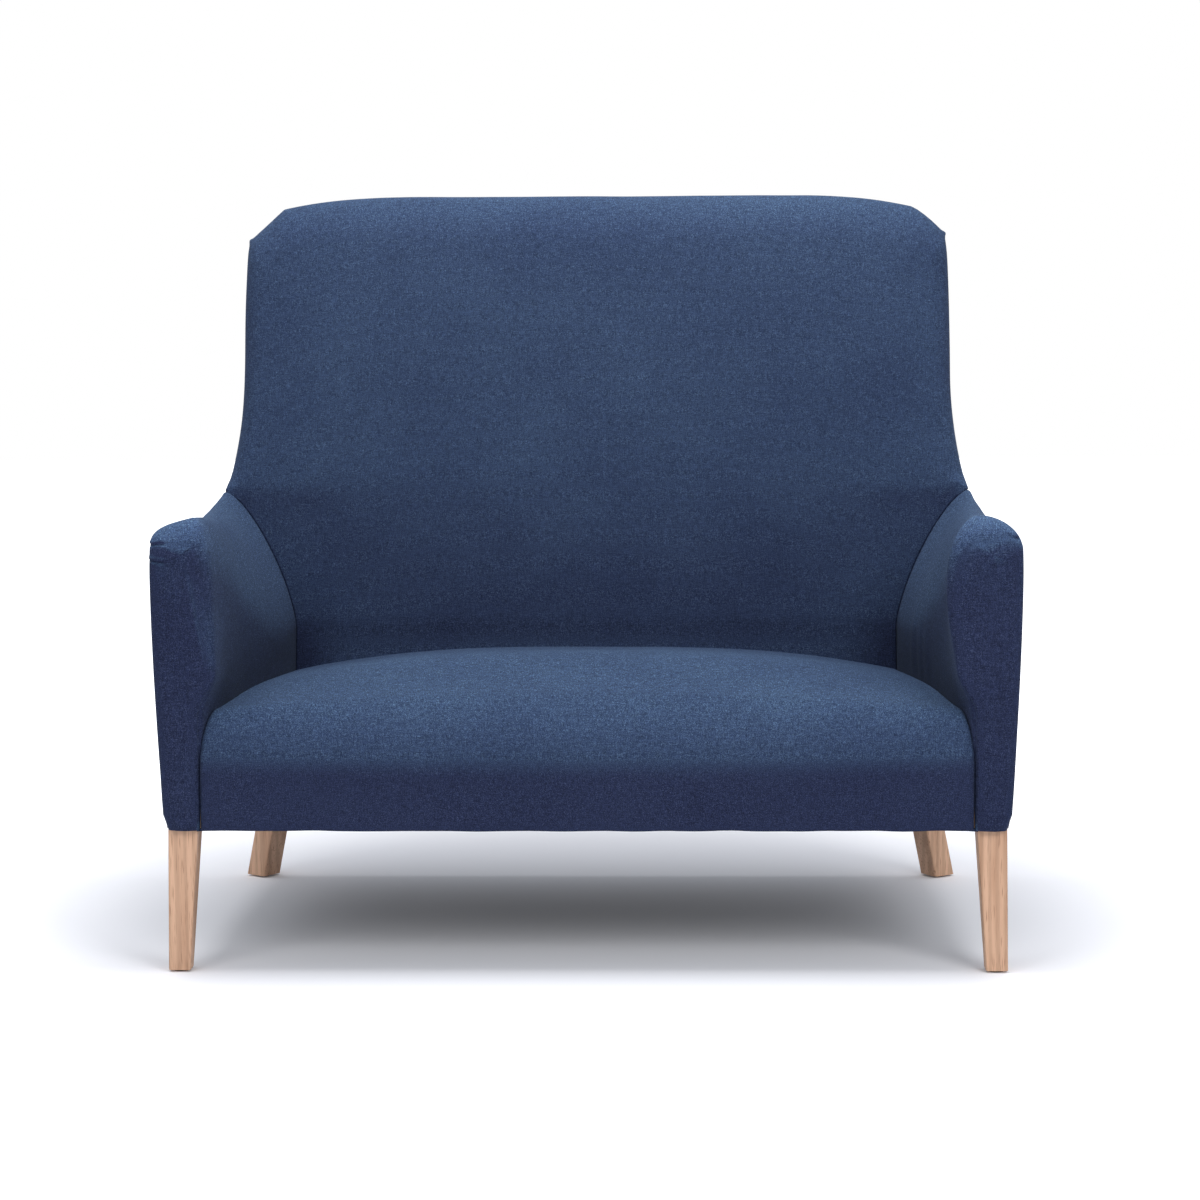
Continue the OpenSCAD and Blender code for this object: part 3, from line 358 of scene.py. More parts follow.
def back_rows():
    """The columns and rows of the back's face. They are closer at its rolls, corners and notches."""
    corner_u = cut_x / ear_x
    us = rolled_stations(back_flat_cols, side_roll / back_half_w, back_roll_cols)
    us = mirrored(sorted(us + [corner_u - fine_step, corner_u + fine_step]))
    upper = rolled_stations(back_flat_rows, top_roll_h / (settee_h - back_low_z), back_roll_rows)
    notch_v = 2 * (notch_z - back_low_z) / (ear_z - back_low_z) - 1
    cut_v = 2 * (cut_top_z - back_low_z) / (ear_z - back_low_z) - 1
    away = [2 * s - 1 for s in upper if not notch_v - row_gap < 2 * s - 1 < cut_v + row_gap]
    return us, sorted(away + [notch_v - fine_step, cut_v])


def ear_distance(p):
    return math.hypot(abs(p.x) - ear_x, p.z - ear_at(p.x))


def make_back():
    us, vs = back_rows()
    points = [back_point(u, v) for v in vs for u in us]
    faces = grid_faces(len(vs), len(us))
    loop = [(us[0], v) for v in vs] + [(u, 1) for u in us[1:]] + [(us[-1], v) for v in reversed(vs[:-1])]
    rows = [[back_wall(u, v, share) for u, v in loop] for share in wall_shares]
    faces += grid_faces(len(rows), len(loop), len(points))
    points += [p for row in rows for p in row]
    obj = new_object("back_pad", points, faces)
    face_outwards(obj, (0, rear_y - corner_hem_r, notch_z))
    push(obj, lambda p: ear_nub * bell(ear_distance(p), ear_nub_w))
    return obj


# The seat: one cover up the border, over the front roll and back to the crease.
seat_edge_r, seat_tuck, seat_side_swell, seat_lean_power = 9, 44, 8, 6
border_steps, front_roll_steps, top_steps, crease_steps = 18, 16, 46, 5
rear_bend_share, rear_bend_steps = 0.04, 6
seat_half_cols, seat_edge_steps = 60, 7


def seat_rise(t):
    if t < full_crown_share:
        return mix(front_crown_share, 1, ease(t / full_crown_share))
    return mix(1, rear_crown_share, ease((t - full_crown_share) / (1 - full_crown_share)))


def seat_top(u, y):
    t = clamp((y - front_y) / (seam_y - tuck_gap - front_y))
    swell = seat_side_swell * math.sin(math.pi * t) * u * u
    return seat_side_h + swell + seat_crown * (1 - abs(u) ** seat_power) * seat_rise(t)


def seat_row(kind, s):
    """What one row across the seat is: for a share u, its y, its z and the way into the foam."""
    rear = seam_y - tuck_gap

    def place(u):
        roll = mix(seat_roll_l, seat_roll_side_l, u * u)
        if kind == "border":
            return front_y, mix(hem_h, seat_roll_h, s), (1, 0)
        if kind == "roll":
            a = s * math.pi / 2
            y = front_y + roll * (1 - math.cos(a))
            return y, mix(seat_roll_h, seat_top(u, y), math.sin(a)), (math.cos(a), -math.sin(a))
        if kind == "top":
            y = mix(front_y + roll, rear, s)
            z = seat_top(u, y)
            lean = min(0, (z - seat_h) * face_slope)
            lean *= clamp((y - front_y) / (rear - front_y)) ** seat_lean_power
            drop = seat_edge_r * rolled(rear - y, seat_edge_r * 2)
            return y + lean, z - drop, (0, -1)
        z = mix(seat_top(u, rear) - seat_edge_r, cushion_z, s)
        return face_y(z) - tuck_gap, z, (0, -1)

    return place


def seat_half(place, side):
    """Half a row of the seat, from the middle over the rolled edge and down beside the arm."""
    half = []
    for i in range(seat_half_cols + 1):
        u = i / seat_half_cols
        y, z, _ = place(u)
        x = u * (low_x(station(y, z)) - tuck_gap - seat_edge_r)
        half.append((side * x, y, z))
    y, z, (in_y, in_z) = place(1)
    edge = low_x(station(y, z)) - tuck_gap
    for i in range(1, seat_edge_steps + 1):
        a = i / seat_edge_steps * math.pi / 2
        sink = seat_edge_r * (1 - math.cos(a))
        x = edge - seat_edge_r + seat_edge_r * math.sin(a)
        half.append((side * x, y + in_y * sink, z + in_z * sink))
    deep = seat_edge_r + seat_tuck
    low = max(cushion_z, z + in_z * deep) if in_z else z
    half.append((side * edge, y + in_y * deep, low))
    return half


def seat_rows():
    rows = [seat_row("border", k / border_steps) for k in range(border_steps)]
    rows += [seat_row("roll", k / front_roll_steps) for k in range(front_roll_steps)]
    rows += [seat_row("top", s) for s in rolled_stations(top_steps, rear_bend_share, rear_bend_steps)]
    rows += [seat_row("crease", k / crease_steps) for k in range(1, crease_steps + 1)]
    return [list(reversed(seat_half(place, -1))) + seat_half(place, 1)[1:] for place in rows]


def make_seat():
    obj = sheet_object("seat_pad", seat_rows())
    face_outwards(obj, (0, 0, seat_side_h - seat_crown))
    return obj


# The arms: front face, crest, inner side and the upper edge of the outer side in one cover. The left
# one is softer where its front turns inwards, and the right one is fuller.
inner_soft_r = {-1: 26, 1: 15}
bulge = {-1: -6, 1: 16}
top_soft_r, outer_soft_r, low_soft_r = 42, 9, 9
top_soft_in, front_shoulder_h, front_shoulder_power = 20, 92, 2.0
crest_power = {-1: 4, 1: 1.9}
crest_slant = {-1: 14, 1: 0}
crest_rear_power = 5
seat_share, soft_rise_h = 0.4, 220
bulge_low_z, bulge_high_z, bulge_way_share = 425, 560, 0.3
front_puff, front_puff_power, front_seam_w = 3, 2.5, 2.2
hem_corner_in, hem_corner_h, hem_corner_l = 6, 22, 60
spine_steps, spine_in, arm_rear_l = 26, 8, 56
rim_steps, arm_front_steps, arm_rear_steps, arm_tail_steps = 8, 34, 20, 6
# How far each row of the front lies from its middle line to its edge.
face_shares = (0, 0.14, 0.28, 0.42, 0.56, 0.68, 0.78, 0.85, 0.9, 0.94, 0.975)

# Places round an arm's section: up the inner side, over the crest and down the outer side. They are
# close together round the outer corner, where the pleats are.
side_steps, inner_steps, crest_steps, pleat_steps, outer_steps = 30, 18, 10, 32, 16
pleat_angle, pleat_share = 40, 0.1
arm_places = [("side", k / side_steps) for k in range(side_steps)]
arm_places += [("inner", k * 90 / inner_steps) for k in range(inner_steps + 1)]
arm_places += [("crest", mix(pleat_angle, 90, k / crest_steps)) for k in range(crest_steps - 1, 0, -1)]
arm_places += [("crest", pleat_angle * k / pleat_steps) for k in range(pleat_steps, -1, -1)]
arm_places += [("outer", pleat_share * k / pleat_steps) for k in range(1, pleat_steps + 1)]
arm_places += [("outer", mix(pleat_share, 1, k / outer_steps)) for k in range(1, outer_steps + 1)]


def hem_corner(y, z):
    """How far the lower corner of an arm's front is pulled in."""
    return hem_corner_in * rolled(z - hem_h, hem_corner_h) * clamp(1 - (y - front_y) / hem_corner_l)


def bulge_at(y, z, side):
    fade = ease(1 - way(y) / bulge_way_share)
    return bulge[side] * fade * ease((z - bulge_low_z) / (bulge_high_z - bulge_low_z))


def inner_height(share, low, high):
    """The height of a place up the inner side. The seat's edge is always at the same share."""
    if share < seat_share:
        return mix(low, seat_side_h, share / seat_share)
    return mix(seat_side_h, high, (share - seat_share) / (1 - seat_share))


def rim_r(place, side):
    """The rounding of the front's rim at a place of the section: how deep, how far in and how far down."""
    kind, value = place
    if kind == "side":
        z = inner_height(value, hem_h, crest_z(front_y) - soft_shoulder_h(front_y))
        r = mix(low_soft_r, inner_soft_r[side], ease((z - seat_side_h) / soft_rise_h))
        return r, r, r
    if kind == "outer":
        return outer_soft_r, outer_soft_r, outer_soft_r
    r = inner_soft_r[side] if kind == "inner" else outer_soft_r
    top = value / 90
    return mix(r, top_soft_r, top), mix(r, top_soft_in, top), mix(r, top_soft_r, top)


def soft_shoulder_h(y):
    return mix(front_shoulder_h, arm_shoulder_rear_h, ease(way(y)))


def soft_shoulder_n(y):
    return mix(front_shoulder_power, shoulder_rear_power, ease(way(y)))


def arm_point(place, y, low, edge, inset, drop, side):
    """A point of the section at a station: up the inner side, over the crest and down the outer."""
    kind, value = place
    high, n, xc, zc = soft_shoulder_h(y), soft_shoulder_n(y), crest_x(y), crest_z(y)
    z0, ze = zc - high, zc - arm_edge_h
    if kind == "side":
        z = inner_height(value, low, z0)
        x = inner_x(y, z) if z < seat_side_h + arm_shoulder_h else base_x(y)
        return x - bulge_at(y, z, side) + inset, z
    a = math.radians(value)
    if kind == "inner":
        reach = xc - base_x(y) + bulge_at(y, z0, side) - inset
        return xc - reach * math.cos(a) ** (2 / n), z0 + (high - drop) * math.sin(a) ** (2 / n)
    if kind == "crest":
        reach = outer_x(y, ze) - inset - xc
        n = mix(crest_power[side], edge_power, ease(2 * way(y)))
        n = mix(n, crest_rear_power, ease(2 * way(y) - 1))
        share = math.cos(a) ** (2 / n)
        slant = min(crest_slant[side] * ease(1 - way(y)), (arm_edge_h - drop) / 2)
        z = ze + (arm_edge_h - drop - slant) * math.sin(a) ** (2 / n) + slant * (1 - share)
        return xc + reach * share, z
    z = mix(ze, edge, value)
    return outer_x(y, z) - inset - hem_corner(y, z), z


def arm_edge_low_z(y):
    return crest_z(y) - arm_edge_h - 2 * tuck_gap


def arm_spine(count):
    """The middle line of an arm's front, with a point for each place of the section."""
    top = arm_h - arm_edge_h - spine_in
    points = []
    for i in range(count):
        z = min(top, mix(hem_h, top, min(i, count - 1 - i) / spine_steps))
        points.append(((inner_x(front_y, z) + outer_x(front_y, z)) / 2, z))
    return points


def front_rows(side, rims):
    """The rows of an arm's front, from its middle line to its edge and round the rim."""
    edge = [arm_point(p, front_y, hem_h, hem_h, r[1], r[2], side) for p, r in zip(arm_places, rims)]
    spine = arm_spine(len(arm_places))
    rows = []
    for t in face_shares:
        y = front_y - front_puff * (1 - t**front_puff_power)
        rows.append([(side * mix(s[0], e[0], t), y, mix(s[1], e[1], t)) for s, e in zip(spine, edge)])
    for k in range(rim_steps + 1):
        a = math.radians(90 - k * 90 / rim_steps)
        back = 1 - math.cos(a)
        row = []
        for place, (deep, inset, drop) in zip(arm_places, rims):
            x, z = arm_point(place, front_y, hem_h, hem_h, inset * back, drop * back, side)
            row.append((side * x, front_y + deep * (1 - math.sin(a)), z))
        rows.append(row)
    return rows


def length_rows(side, rims):
    """The rows of an arm behind its rim: the front part, the finer part by the back, and the tail."""
    rear_start = seam_y - arm_rear_l
    lengths = [("front", k / arm_front_steps) for k in range(arm_front_steps + 1)]
    lengths += [("rear", k / arm_rear_steps) for k in range(1, arm_rear_steps + 1)]
    lengths += [("tail", k / arm_tail_steps) for k in range(1, arm_tail_steps + 1)]
    rows = []
    for part, share in lengths:
        row = []
        for place, (deep, _, _) in zip(arm_places, rims):
            if part == "front":
                y = mix(front_y + deep + front_seam_w, rear_start, share)
            elif part == "rear":
                y = mix(rear_start, seam_y, share)
            else:
                y = seam_y + arm_tail * share
            x, z = arm_point(place, y, cushion_z, arm_edge_low_z(y), 0, 0, side)
            row.append((side * x, y + (z - seat_h) * way(y) * face_slope, z))
        rows.append(row)
    return rows


def arm_rows(side):
    rims = [rim_r(place, side) for place in arm_places]
    return front_rows(side, rims) + length_rows(side, rims)


# Small pleats where the cloth turns the outer corner of an arm's front: side, height, rise inwards.
pleats = ((-1, 634, 0.1), (-1, 611, -0.16), (1, 640, 0.24))
pleat_l, pleat_w, pleat_d, pleat_behind, pleat_hold = 40, 1.5, 3.6, 12, 1.7
ridge_up, ridge_w, ridge_h = 4, 3, 0.7
# Loose folds low on the inside of the right arm, by how far they stand in front of the back.
folds = ((150, 3.4), (198, 3.4), (240, 2.0))
fold_w, fold_low_z, fold_high_z, fold_lean = 13, 380, 500, 0.04


def pleat_at(p, side):
    """How far a point stands out for an arm's pleats, each a groove with a low ridge above it."""
    inwards = outer_x(front_y, p.z) - abs(p.x)
    if p.y > front_y + pleat_behind or inwards > pleat_l:
        return 0
    fade = min(1, pleat_hold * ease(1 - inwards / pleat_l))
    total = 0
    for owner, height, rise in pleats:
        if owner == side:
            off = p.z - height - rise * inwards
            total += fade * (ridge_h * bell(off - ridge_up, ridge_w) - pleat_d * bell(off, pleat_w))
    return total


def fold_at(p, side):
    """How far a point stands out for the loose folds inside the right arm."""
    if side < 0 or not fold_low_z < p.z < fold_high_z:
        return 0
    before = seam_y - station(p.y, p.z) - fold_lean * (p.z - seat_h)
    rise = math.sin(math.pi * (p.z - fold_low_z) / (fold_high_z - fold_low_z))
    return rise * sum(d * bell(before - at, fold_w) for at, d in folds)


def make_arm(side, word):
    obj = sheet_object(f"arm_pad_{word}", arm_rows(side))
    face_outwards(obj, (side * (half_w - arm_low_w / 2), 0, arm_swell_h - arm_edge_h))
    push(obj, lambda p: pleat_at(p, side) + fold_at(p, side))
    return obj


# The outside covers, on panels behind and beside the frame.
side_clear, outer_puff, meet_steps = 1.2, 4, 12
side_start_y = front_y + outer_soft_r + front_seam_w + side_clear
turn_shares, middle_steps = (0, 0.15, 0.35, 0.65, 1), 30
# Where a side cover's upper edge steps up behind the arm, as shares of its length and as heights.
side_rise_share, side_rise_w, rise_gap_share, rise_step_share = 0.965, 0.034, 0.012, 0.0035
side_rise_z, side_rise_h = 520, 80


def corner_start_y(z):
    return out_y(z) - corner_r(z)


def rise_shift(s, z):
    """Moves the cover's edge behind the arm up to the arm's end."""
    share = max(0, 1 - abs(s - side_rise_share) / side_rise_w)
    end = seam_y + arm_tail + (z - seat_h) * face_slope + side_clear
    unmoved = mix(side_start_y, corner_start_y(z), side_rise_share)
    return share * ease((z - side_rise_z) / side_rise_h) * (end - unmoved)


def side_point(s, z, inset):
    r = corner_r(z)
    start = corner_start_y(z)
    if s <= 1:
        y = mix(side_start_y, start, s) + rise_shift(s, z)
        return outer_x(y, z) - inset - hem_corner(y, z), y, z
    a = math.radians(90 * (s - 1))
    return outer_x(start, z) - r + (r - inset) * math.cos(a), start + (r - inset) * math.sin(a), z


def side_top(s):
    if s >= side_rise_share:
        return cut_top_z - seam_gap
    y = side_point(s, arm_swell_h, 0)[1]
    return arm_edge_low_z(station(y, arm_swell_h)) - seam_gap


def edge_shares(length):
    """Shares of a length that gather at both ends, where the cloth is turned in."""
    turned = [edge_roll / length * s for s in turn_shares]
    middle = [mix(turned[-1], 1 - turned[-1], k / middle_steps) for k in range(1, middle_steps)]
    return turned + middle + [1 - s for s in reversed(turned)]


def sunk(distance):
    return edge_sink * rolled(distance, edge_roll)


def make_outer_side(side, word):
    away = [2 * s for s in edge_shares(settee_d) if abs(2 * s - side_rise_share) > rise_gap_share]
    stations = sorted(away + [side_rise_share - rise_step_share, side_rise_share])
    rows = []
    for h in edge_shares(arm_h - hem_h):
        row = []
        for s in stations:
            z = mix(hem_h, side_top(s), h)
            tall = (1 - h) * (side_top(s) - hem_h)
            ends = min(s, 2 - s) * settee_d / 2
            x, y, z = side_point(s, z, max(sunk(tall), sunk(ends)))
            row.append((side * x, y, z))
        rows.append(row)
    obj = sheet_object(f"outer_side_{word}", rows)
    face_outwards(obj, (0, 0, arm_h / 2))
    return obj


def rear_half_w(z):
    if z > notch_z:
        return side_x(z) - wrap_r(z)
    return outer_x(corner_start_y(z), z) - corner_r(z)


def outside_top_z(x):
    """Where the inside back's cover ends behind the top. The outer cover meets it there."""
    r = wrap_r(settee_h)
    source = abs(x)
    for _ in range(meet_steps):
        inwards, down = edge_normal(math.copysign(min(1, source / ear_x), x), 1)
        source = abs(x) + abs(inwards) * r
    return top_z(math.copysign(min(ear_x, source), x)) - down * r - seam_gap


def make_outer_back():
    top_half = ear_x - wrap_r(settee_h)
    corner = (cut_x - cut_mitre * wrap_r(settee_h)) / top_half
    across = sorted([2 * s - 1 for s in edge_shares(2 * top_half)] + [-corner, corner])
    rows = []
    for h in edge_shares(settee_h - hem_h):
        row = []
        for s in across:
            high = outside_top_z(s * top_half)
            z = mix(hem_h, high, h)
            half = rear_half_w(z) - seam_gap
            inset = max(sunk((1 - h) * (high - hem_h)), sunk((1 - abs(s)) * half))
            puff = outer_puff * (1 - s * s) * math.sin(math.pi * h)
            row.append((s * half, out_y(z) - inset + puff, z))
        rows.append(row)
    obj = sheet_object("outer_back", rows)
    face_outwards(obj, (0, 0, arm_h))
    return obj


# The cloth under the seat, sagging a little between its staples.
under_sag, under_in, under_steps, under_half_steps = 5, 7, 60, 40


def make_under_cloth():
    low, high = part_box("dust_cover")
    x_end, y0, y1 = high[0] / MM, low[1] / MM, high[1] / MM
    flat_z = low[2] / MM
    shares = [j / under_half_steps - 1 for j in range(2 * under_half_steps + 1)]
    rows = []
    for k in range(under_steps + 1):
        y = mix(y0, y1, k / under_steps)
        past = max(0, y - (y1 - corner_hem_r))
        cut = corner_hem_r - math.sqrt(max(0, corner_hem_r**2 - past**2))
        half = min(outer_x(y, hem_h) - under_in - cut, x_end)
        sag = under_sag * math.sin(math.pi * k / under_steps)
        rows.append([(s * half, y, flat_z - sag * (1 - s * s)) for s in shares])
    return sheet_object("under_cloth", rows)


hem_lip, hem_reach = 14, 0.5


def turn_under(obj):
    """Folds the cloth at the hem in under the frame."""
    work = bmesh.new()
    work.from_mesh(obj.data)
    work.verts.ensure_lookup_table()
    hem = [
        e for e in work.edges
        if e.is_boundary and all(abs(v.co.z / MM - hem_h) < hem_reach for v in e.verts)
    ]
    made = bmesh.ops.extrude_edge_only(work, edges=hem)["geom"]
    for v in made:
        if isinstance(v, bmesh.types.BMVert):
            flat = Vector((v.normal.x, v.normal.y, 0))
            if flat.length > 0:
                v.co -= flat.normalized() * hem_lip * MM
    work.to_mesh(obj.data)
    work.free()
    obj.data.shade_smooth()


broad_ripple, broad_ripple_l, fine_ripple, fine_ripple_l = 0.9, 190, 0.5, 70
hem_wave, hem_wave_l, hem_wave_h = 1.6, 60, 40


def ripple(obj, held):
    """The slight unevenness of cloth pulled over foam, and the hem's small waves."""

    def unevenness(p):
        return broad_ripple * wander(p, broad_ripple_l, 3.0) + fine_ripple * wander(p, fine_ripple_l, 9.0)

    push(obj, lambda p: (1 - held(p)) * unevenness(p))
    for v in obj.data.vertices:
        p = v.co / MM
        near_hem = clamp(1 - (p.z - hem_h) / hem_wave_h)
        v.co.z += near_hem * hem_wave * wander((p.x, p.y, 0), hem_wave_l, 5.0) * MM


# How firmly a point of a cover is held, from 0 to 1: it is tucked in, sewn or stapled there.
def near(distance, reach):
    return ease(1 - distance / reach)


tuck_fade, hem_fade, flank_fade, outer_hem_fade, crease_fade = 14, 6, 10, 8, 12
seat_line_up, seat_line_in, rim_overlap = 8, 4, 1
back_low_fade, back_side_fade, back_side_rise = 80, 130, 220


def seat_held(p):
    side = near(low_x(station(p.y, p.z)) - tuck_gap - abs(p.x), tuck_fade)
    rear = near(face_y(p.z) - tuck_gap - p.y, tuck_fade)
    return max(side, rear, near(p.z - hem_h, hem_fade))


def back_held(p):
    crease = near(p.z - seat_h + crease_fade, back_low_fade)
    side = near(back_side(p.z) - abs(p.x), back_side_fade) * near(p.z - notch_z, back_side_rise)
    return max(crease, side, near(out_y(p.z) - p.y, tuck_fade), near(ear_distance(p), ear_hold))


def arm_held(p):
    y = station(p.y, p.z)
    by_seat = abs(p.x) < low_x(y) + seat_line_in
    seat = near(p.z - seat_side_h - seat_line_up, tuck_fade) if by_seat else 0
    by_flank = p.y > front_y + outer_soft_r - rim_overlap and abs(p.x) > crest_x(y)
    flank = near(p.z - arm_edge_low_z(y), flank_fade) if by_flank else 0
    return max(seat, flank, near(seam_y - y, tuck_fade), near(p.z - hem_h, hem_fade))


def outer_held(p):
    return near(p.z - hem_h, outer_hem_fade)


cloth_frames = 20
pad_swell, pad_pressure, arm_swell, arm_pressure = 1.2, 0.5, 2, 0.6
back_passes, seat_passes, arm_passes = 80, 12, 12


def settle(obj, held, cap, pressure, passes):
    """Lets a cover swell over its padding by at most cap, with its tucked edges held.

    The swelling is then evened out over neighbouring points as many times as passes says.
    """
    scene = bpy.context.scene
    start = [v.co.copy() for v in obj.data.vertices]
    hold = [held(co / MM) for co in start]
    group = obj.vertex_groups.new(name="held")
    for index, weight in enumerate(hold):
        group.add([index], weight, "REPLACE")
    cloth = obj.modifiers.new("cloth", "CLOTH")
    cloth.point_cache.frame_start = 1
    cloth.point_cache.frame_end = cloth_frames
    settings = cloth.settings
    settings.quality = 4
    settings.mass = 0.3
    settings.tension_stiffness = settings.compression_stiffness = 25
    settings.shear_stiffness = 8
    settings.bending_stiffness = 1.5
    settings.vertex_group_mass = group.name
    settings.use_pressure = True
    settings.uniform_pressure_force = pressure
    settings.effector_weights.gravity = 0
    for step in range(1, cloth_frames + 1):
        scene.frame_set(step)
    made = obj.evaluated_get(bpy.context.evaluated_depsgraph_get()).data
    moved = [v.co.copy() for v in made.vertices]
    obj.modifiers.remove(cloth)
    obj.vertex_groups.remove(group)
    scene.frame_set(1)
    normals = [v.normal.copy() for v in obj.data.vertices]
    free = 1 - numpy.array(hold)
    lift = numpy.array([(after - before).dot(n) for before, after, n in zip(start, moved, normals)])
    lift = free * numpy.clip(lift, -cap * MM, cap * MM)
    ends = numpy.array([edge.vertices[:] for edge in obj.data.edges])
    count = numpy.maximum(1, numpy.bincount(ends.ravel(), minlength=len(start)))
    for _ in range(passes):
        total = numpy.zeros(len(start))
        numpy.add.at(total, ends[:, 0], lift[ends[:, 1]])
        numpy.add.at(total, ends[:, 1], lift[ends[:, 0]])
        lift = free * (lift + total / count) / 2
    for v, before, normal, depth in zip(obj.data.vertices, start, normals, lift):
        v.co = before + normal * depth


# Materials.
white = (1.0, 1.0, 1.0)


def fill(node, **sockets):
    """Sets sockets of the node by name, with underscores for spaces."""
    for name, value in sockets.items():
        node.inputs[name.replace("_", " ")].default_value = value


def add(tree, kind, **settings):
    """A node of that kind, with its settings by name."""
    made = tree.nodes.new(kind)
    for name, value in settings.items():
        setattr(made, name, value)
    return made


def new_material(name):
    material = bpy.data.materials.new(name)
    material.use_nodes = True
    tree = material.node_tree
    tree.nodes.clear()
    shader = add(tree, "ShaderNodeBsdfPrincipled")
    output = add(tree, "ShaderNodeOutputMaterial")
    tree.links.new(shader.outputs["BSDF"], output.inputs["Surface"])
    place = add(tree, "ShaderNodeTexCoord")
    return material, tree, shader, place.outputs["Object"]


def math_node(tree, operation, a, b=None):
    made = add(tree, "ShaderNodeMath", operation=operation)
    for socket, value in zip(made.inputs, (a, b)):
        if hasattr(value, "is_output"):
            tree.links.new(value, socket)
        elif value is not None:
            socket.default_value = value
    return made.outputs[0]


def product(tree, first, *others):
    for other in others:
        first = math_node(tree, "MULTIPLY", first, other)
    return first


def rest_of(tree, value):
    """What the value leaves of 1."""
    return math_node(tree, "SUBTRACT", 1.0, value)


def axes(tree, vector):
    """The three numbers of a vector."""
    split = add(tree, "ShaderNodeSeparateXYZ")
    tree.links.new(vector, split.inputs[0])
    return split.outputs


def scaled(tree, vector, scale):
    made = add(tree, "ShaderNodeVectorMath", operation="MULTIPLY")
    tree.links.new(vector, made.inputs[0])
    made.inputs[1].default_value = scale
    return made.outputs[0]


def noise_node(tree, vector, scale=1.0, detail=2.0, roughness=0.5):
    made = add(tree, "ShaderNodeTexNoise")
    fill(made, Scale=scale, Detail=detail, Roughness=roughness)
    tree.links.new(vector, made.inputs["Vector"])
    return made.outputs["Fac"]


def ramp(tree, value, stops):
    made = add(tree, "ShaderNodeValToRGB")
    bar = made.color_ramp
    while len(bar.elements) < len(stops):
        bar.elements.new(0.5)
    for element, (position, colour) in zip(bar.elements, stops):
        element.position = position
        element.color = (*colour, 1)
    tree.links.new(value, made.inputs["Fac"])
    return made.outputs["Color"]


def blended(tree, a, b, factor, kind="MIX"):
    """Mixes two colours, which are sockets 6 and 7 of the Mix node. The colour made is its output 2."""
    made = add(tree, "ShaderNodeMix", data_type="RGBA", blend_type=kind)
    for socket, value in ((made.inputs[0], factor), (made.inputs[6], a), (made.inputs[7], b)):
        if hasattr(value, "is_output"):
            tree.links.new(value, socket)
        else:
            socket.default_value = value if isinstance(value, float) else (*value, 1)
    return made.outputs[2]


def toned(tree, colour, tone):
    return blended(tree, colour, tone, 1.0, "MULTIPLY")


def bumped(tree, shader, height, strength, distance):
    made = add(tree, "ShaderNodeBump")
    fill(made, Strength=strength, Distance=distance)
    tree.links.new(height, made.inputs["Height"])
    tree.links.new(made.outputs["Normal"], shader.inputs["Normal"])


def weave_height(tree, place, pitch):
    """Threads over and under each other on whichever of the three planes the cloth faces."""
    turns = scaled(tree, place, (2 * math.pi / pitch,) * 3)
    waves = [math_node(tree, "SINE", turn) for turn in axes(tree, turns)]
    normal = add(tree, "ShaderNodeNewGeometry").outputs["Normal"]
    squares = add(tree, "ShaderNodeVectorMath", operation="MULTIPLY")
    tree.links.new(normal, squares.inputs[0])
    tree.links.new(normal, squares.inputs[1])
    parts = axes(tree, squares.outputs[0])
    total = None
    for axis in range(3):
        first, second = [waves[i] for i in range(3) if i != axis]
        share = product(tree, first, second, parts[axis])
        total = share if total is None else math_node(tree, "ADD", total, share)
    return total


def fade_node(tree, value, start, end, low=0.0):
    """Rises smoothly from low at the start to 1 at the end."""
    made = add(tree, "ShaderNodeMapRange", interpolation_type="SMOOTHSTEP")
    tree.links.new(value, made.inputs["Value"])
    fill(made, From_Min=start, From_Max=end, To_Min=low)
    return made.outputs["Result"]


# Where the wool's painted shade and painted highlight change, in metres: each change comes in from its
# first place to its second.
beside_seat_m, outside_m = (0.40, 0.52), (0.575, 0.60)
behind_rim_m, past_front_m = (-0.39, -0.28), (-0.37, -0.30)
seat_rear_m, past_back_m = (-0.12, 0.12), (0.24, 0.30)
above_low_m, above_seat_m, arm_top_m = (0.38, 0.56), (0.45, 0.48), (0.605, 0.65)
facing_up, crease_share = (0.3, 0.8), 0.4
# The colours of the painted shade and of the painted highlight, multiplied into the wool's colour.
painted_shade_tone, painted_highlight_tone = (0.36, 0.34, 0.44), (1.5, 1.5, 1.45)


def painted_shade_and_highlight(tree, place, upward):
    """Painted shade low inside the arms and at the seat's rear, and a painted highlight on the arms' front
    tops.
    """
    x, y, z = axes(tree, place)
    across = math_node(tree, "ABSOLUTE", x)
    within = rest_of(tree, fade_node(tree, across, *outside_m))
    before = rest_of(tree, fade_node(tree, y, *past_back_m))
    side = product(tree, fade_node(tree, across, *beside_seat_m), within)
    low = rest_of(tree, fade_node(tree, z, *above_low_m))
    upright = rest_of(tree, fade_node(tree, upward, *facing_up))
    inside = product(tree, side, low, fade_node(tree, y, *behind_rim_m), upright)
    under = rest_of(tree, fade_node(tree, z, *above_seat_m))
    crease = product(tree, fade_node(tree, y, *seat_rear_m), under, crease_share)
    dark = product(tree, math_node(tree, "ADD", inside, crease), before)
    front = rest_of(tree, fade_node(tree, y, *past_front_m))
    wear_and_highlight = product(tree, front, fade_node(tree, z, *arm_top_m))
    shade = ramp(tree, dark, [(0.0, white), (1.0, painted_shade_tone)])
    return toned(tree, shade, ramp(tree, wear_and_highlight, [(0.0, white), (1.0, painted_highlight_tone)]))


wool_thread_m = 0.0022
# How fine the wool's noises are along X, Y and Z, per metre.
fleck_scale, mottle_scale, patch_scale = (1000, 180, 1000), (300, 60, 300), 5.5
upright_scale, level_scale = (700, 120, 110), (110, 120, 700)


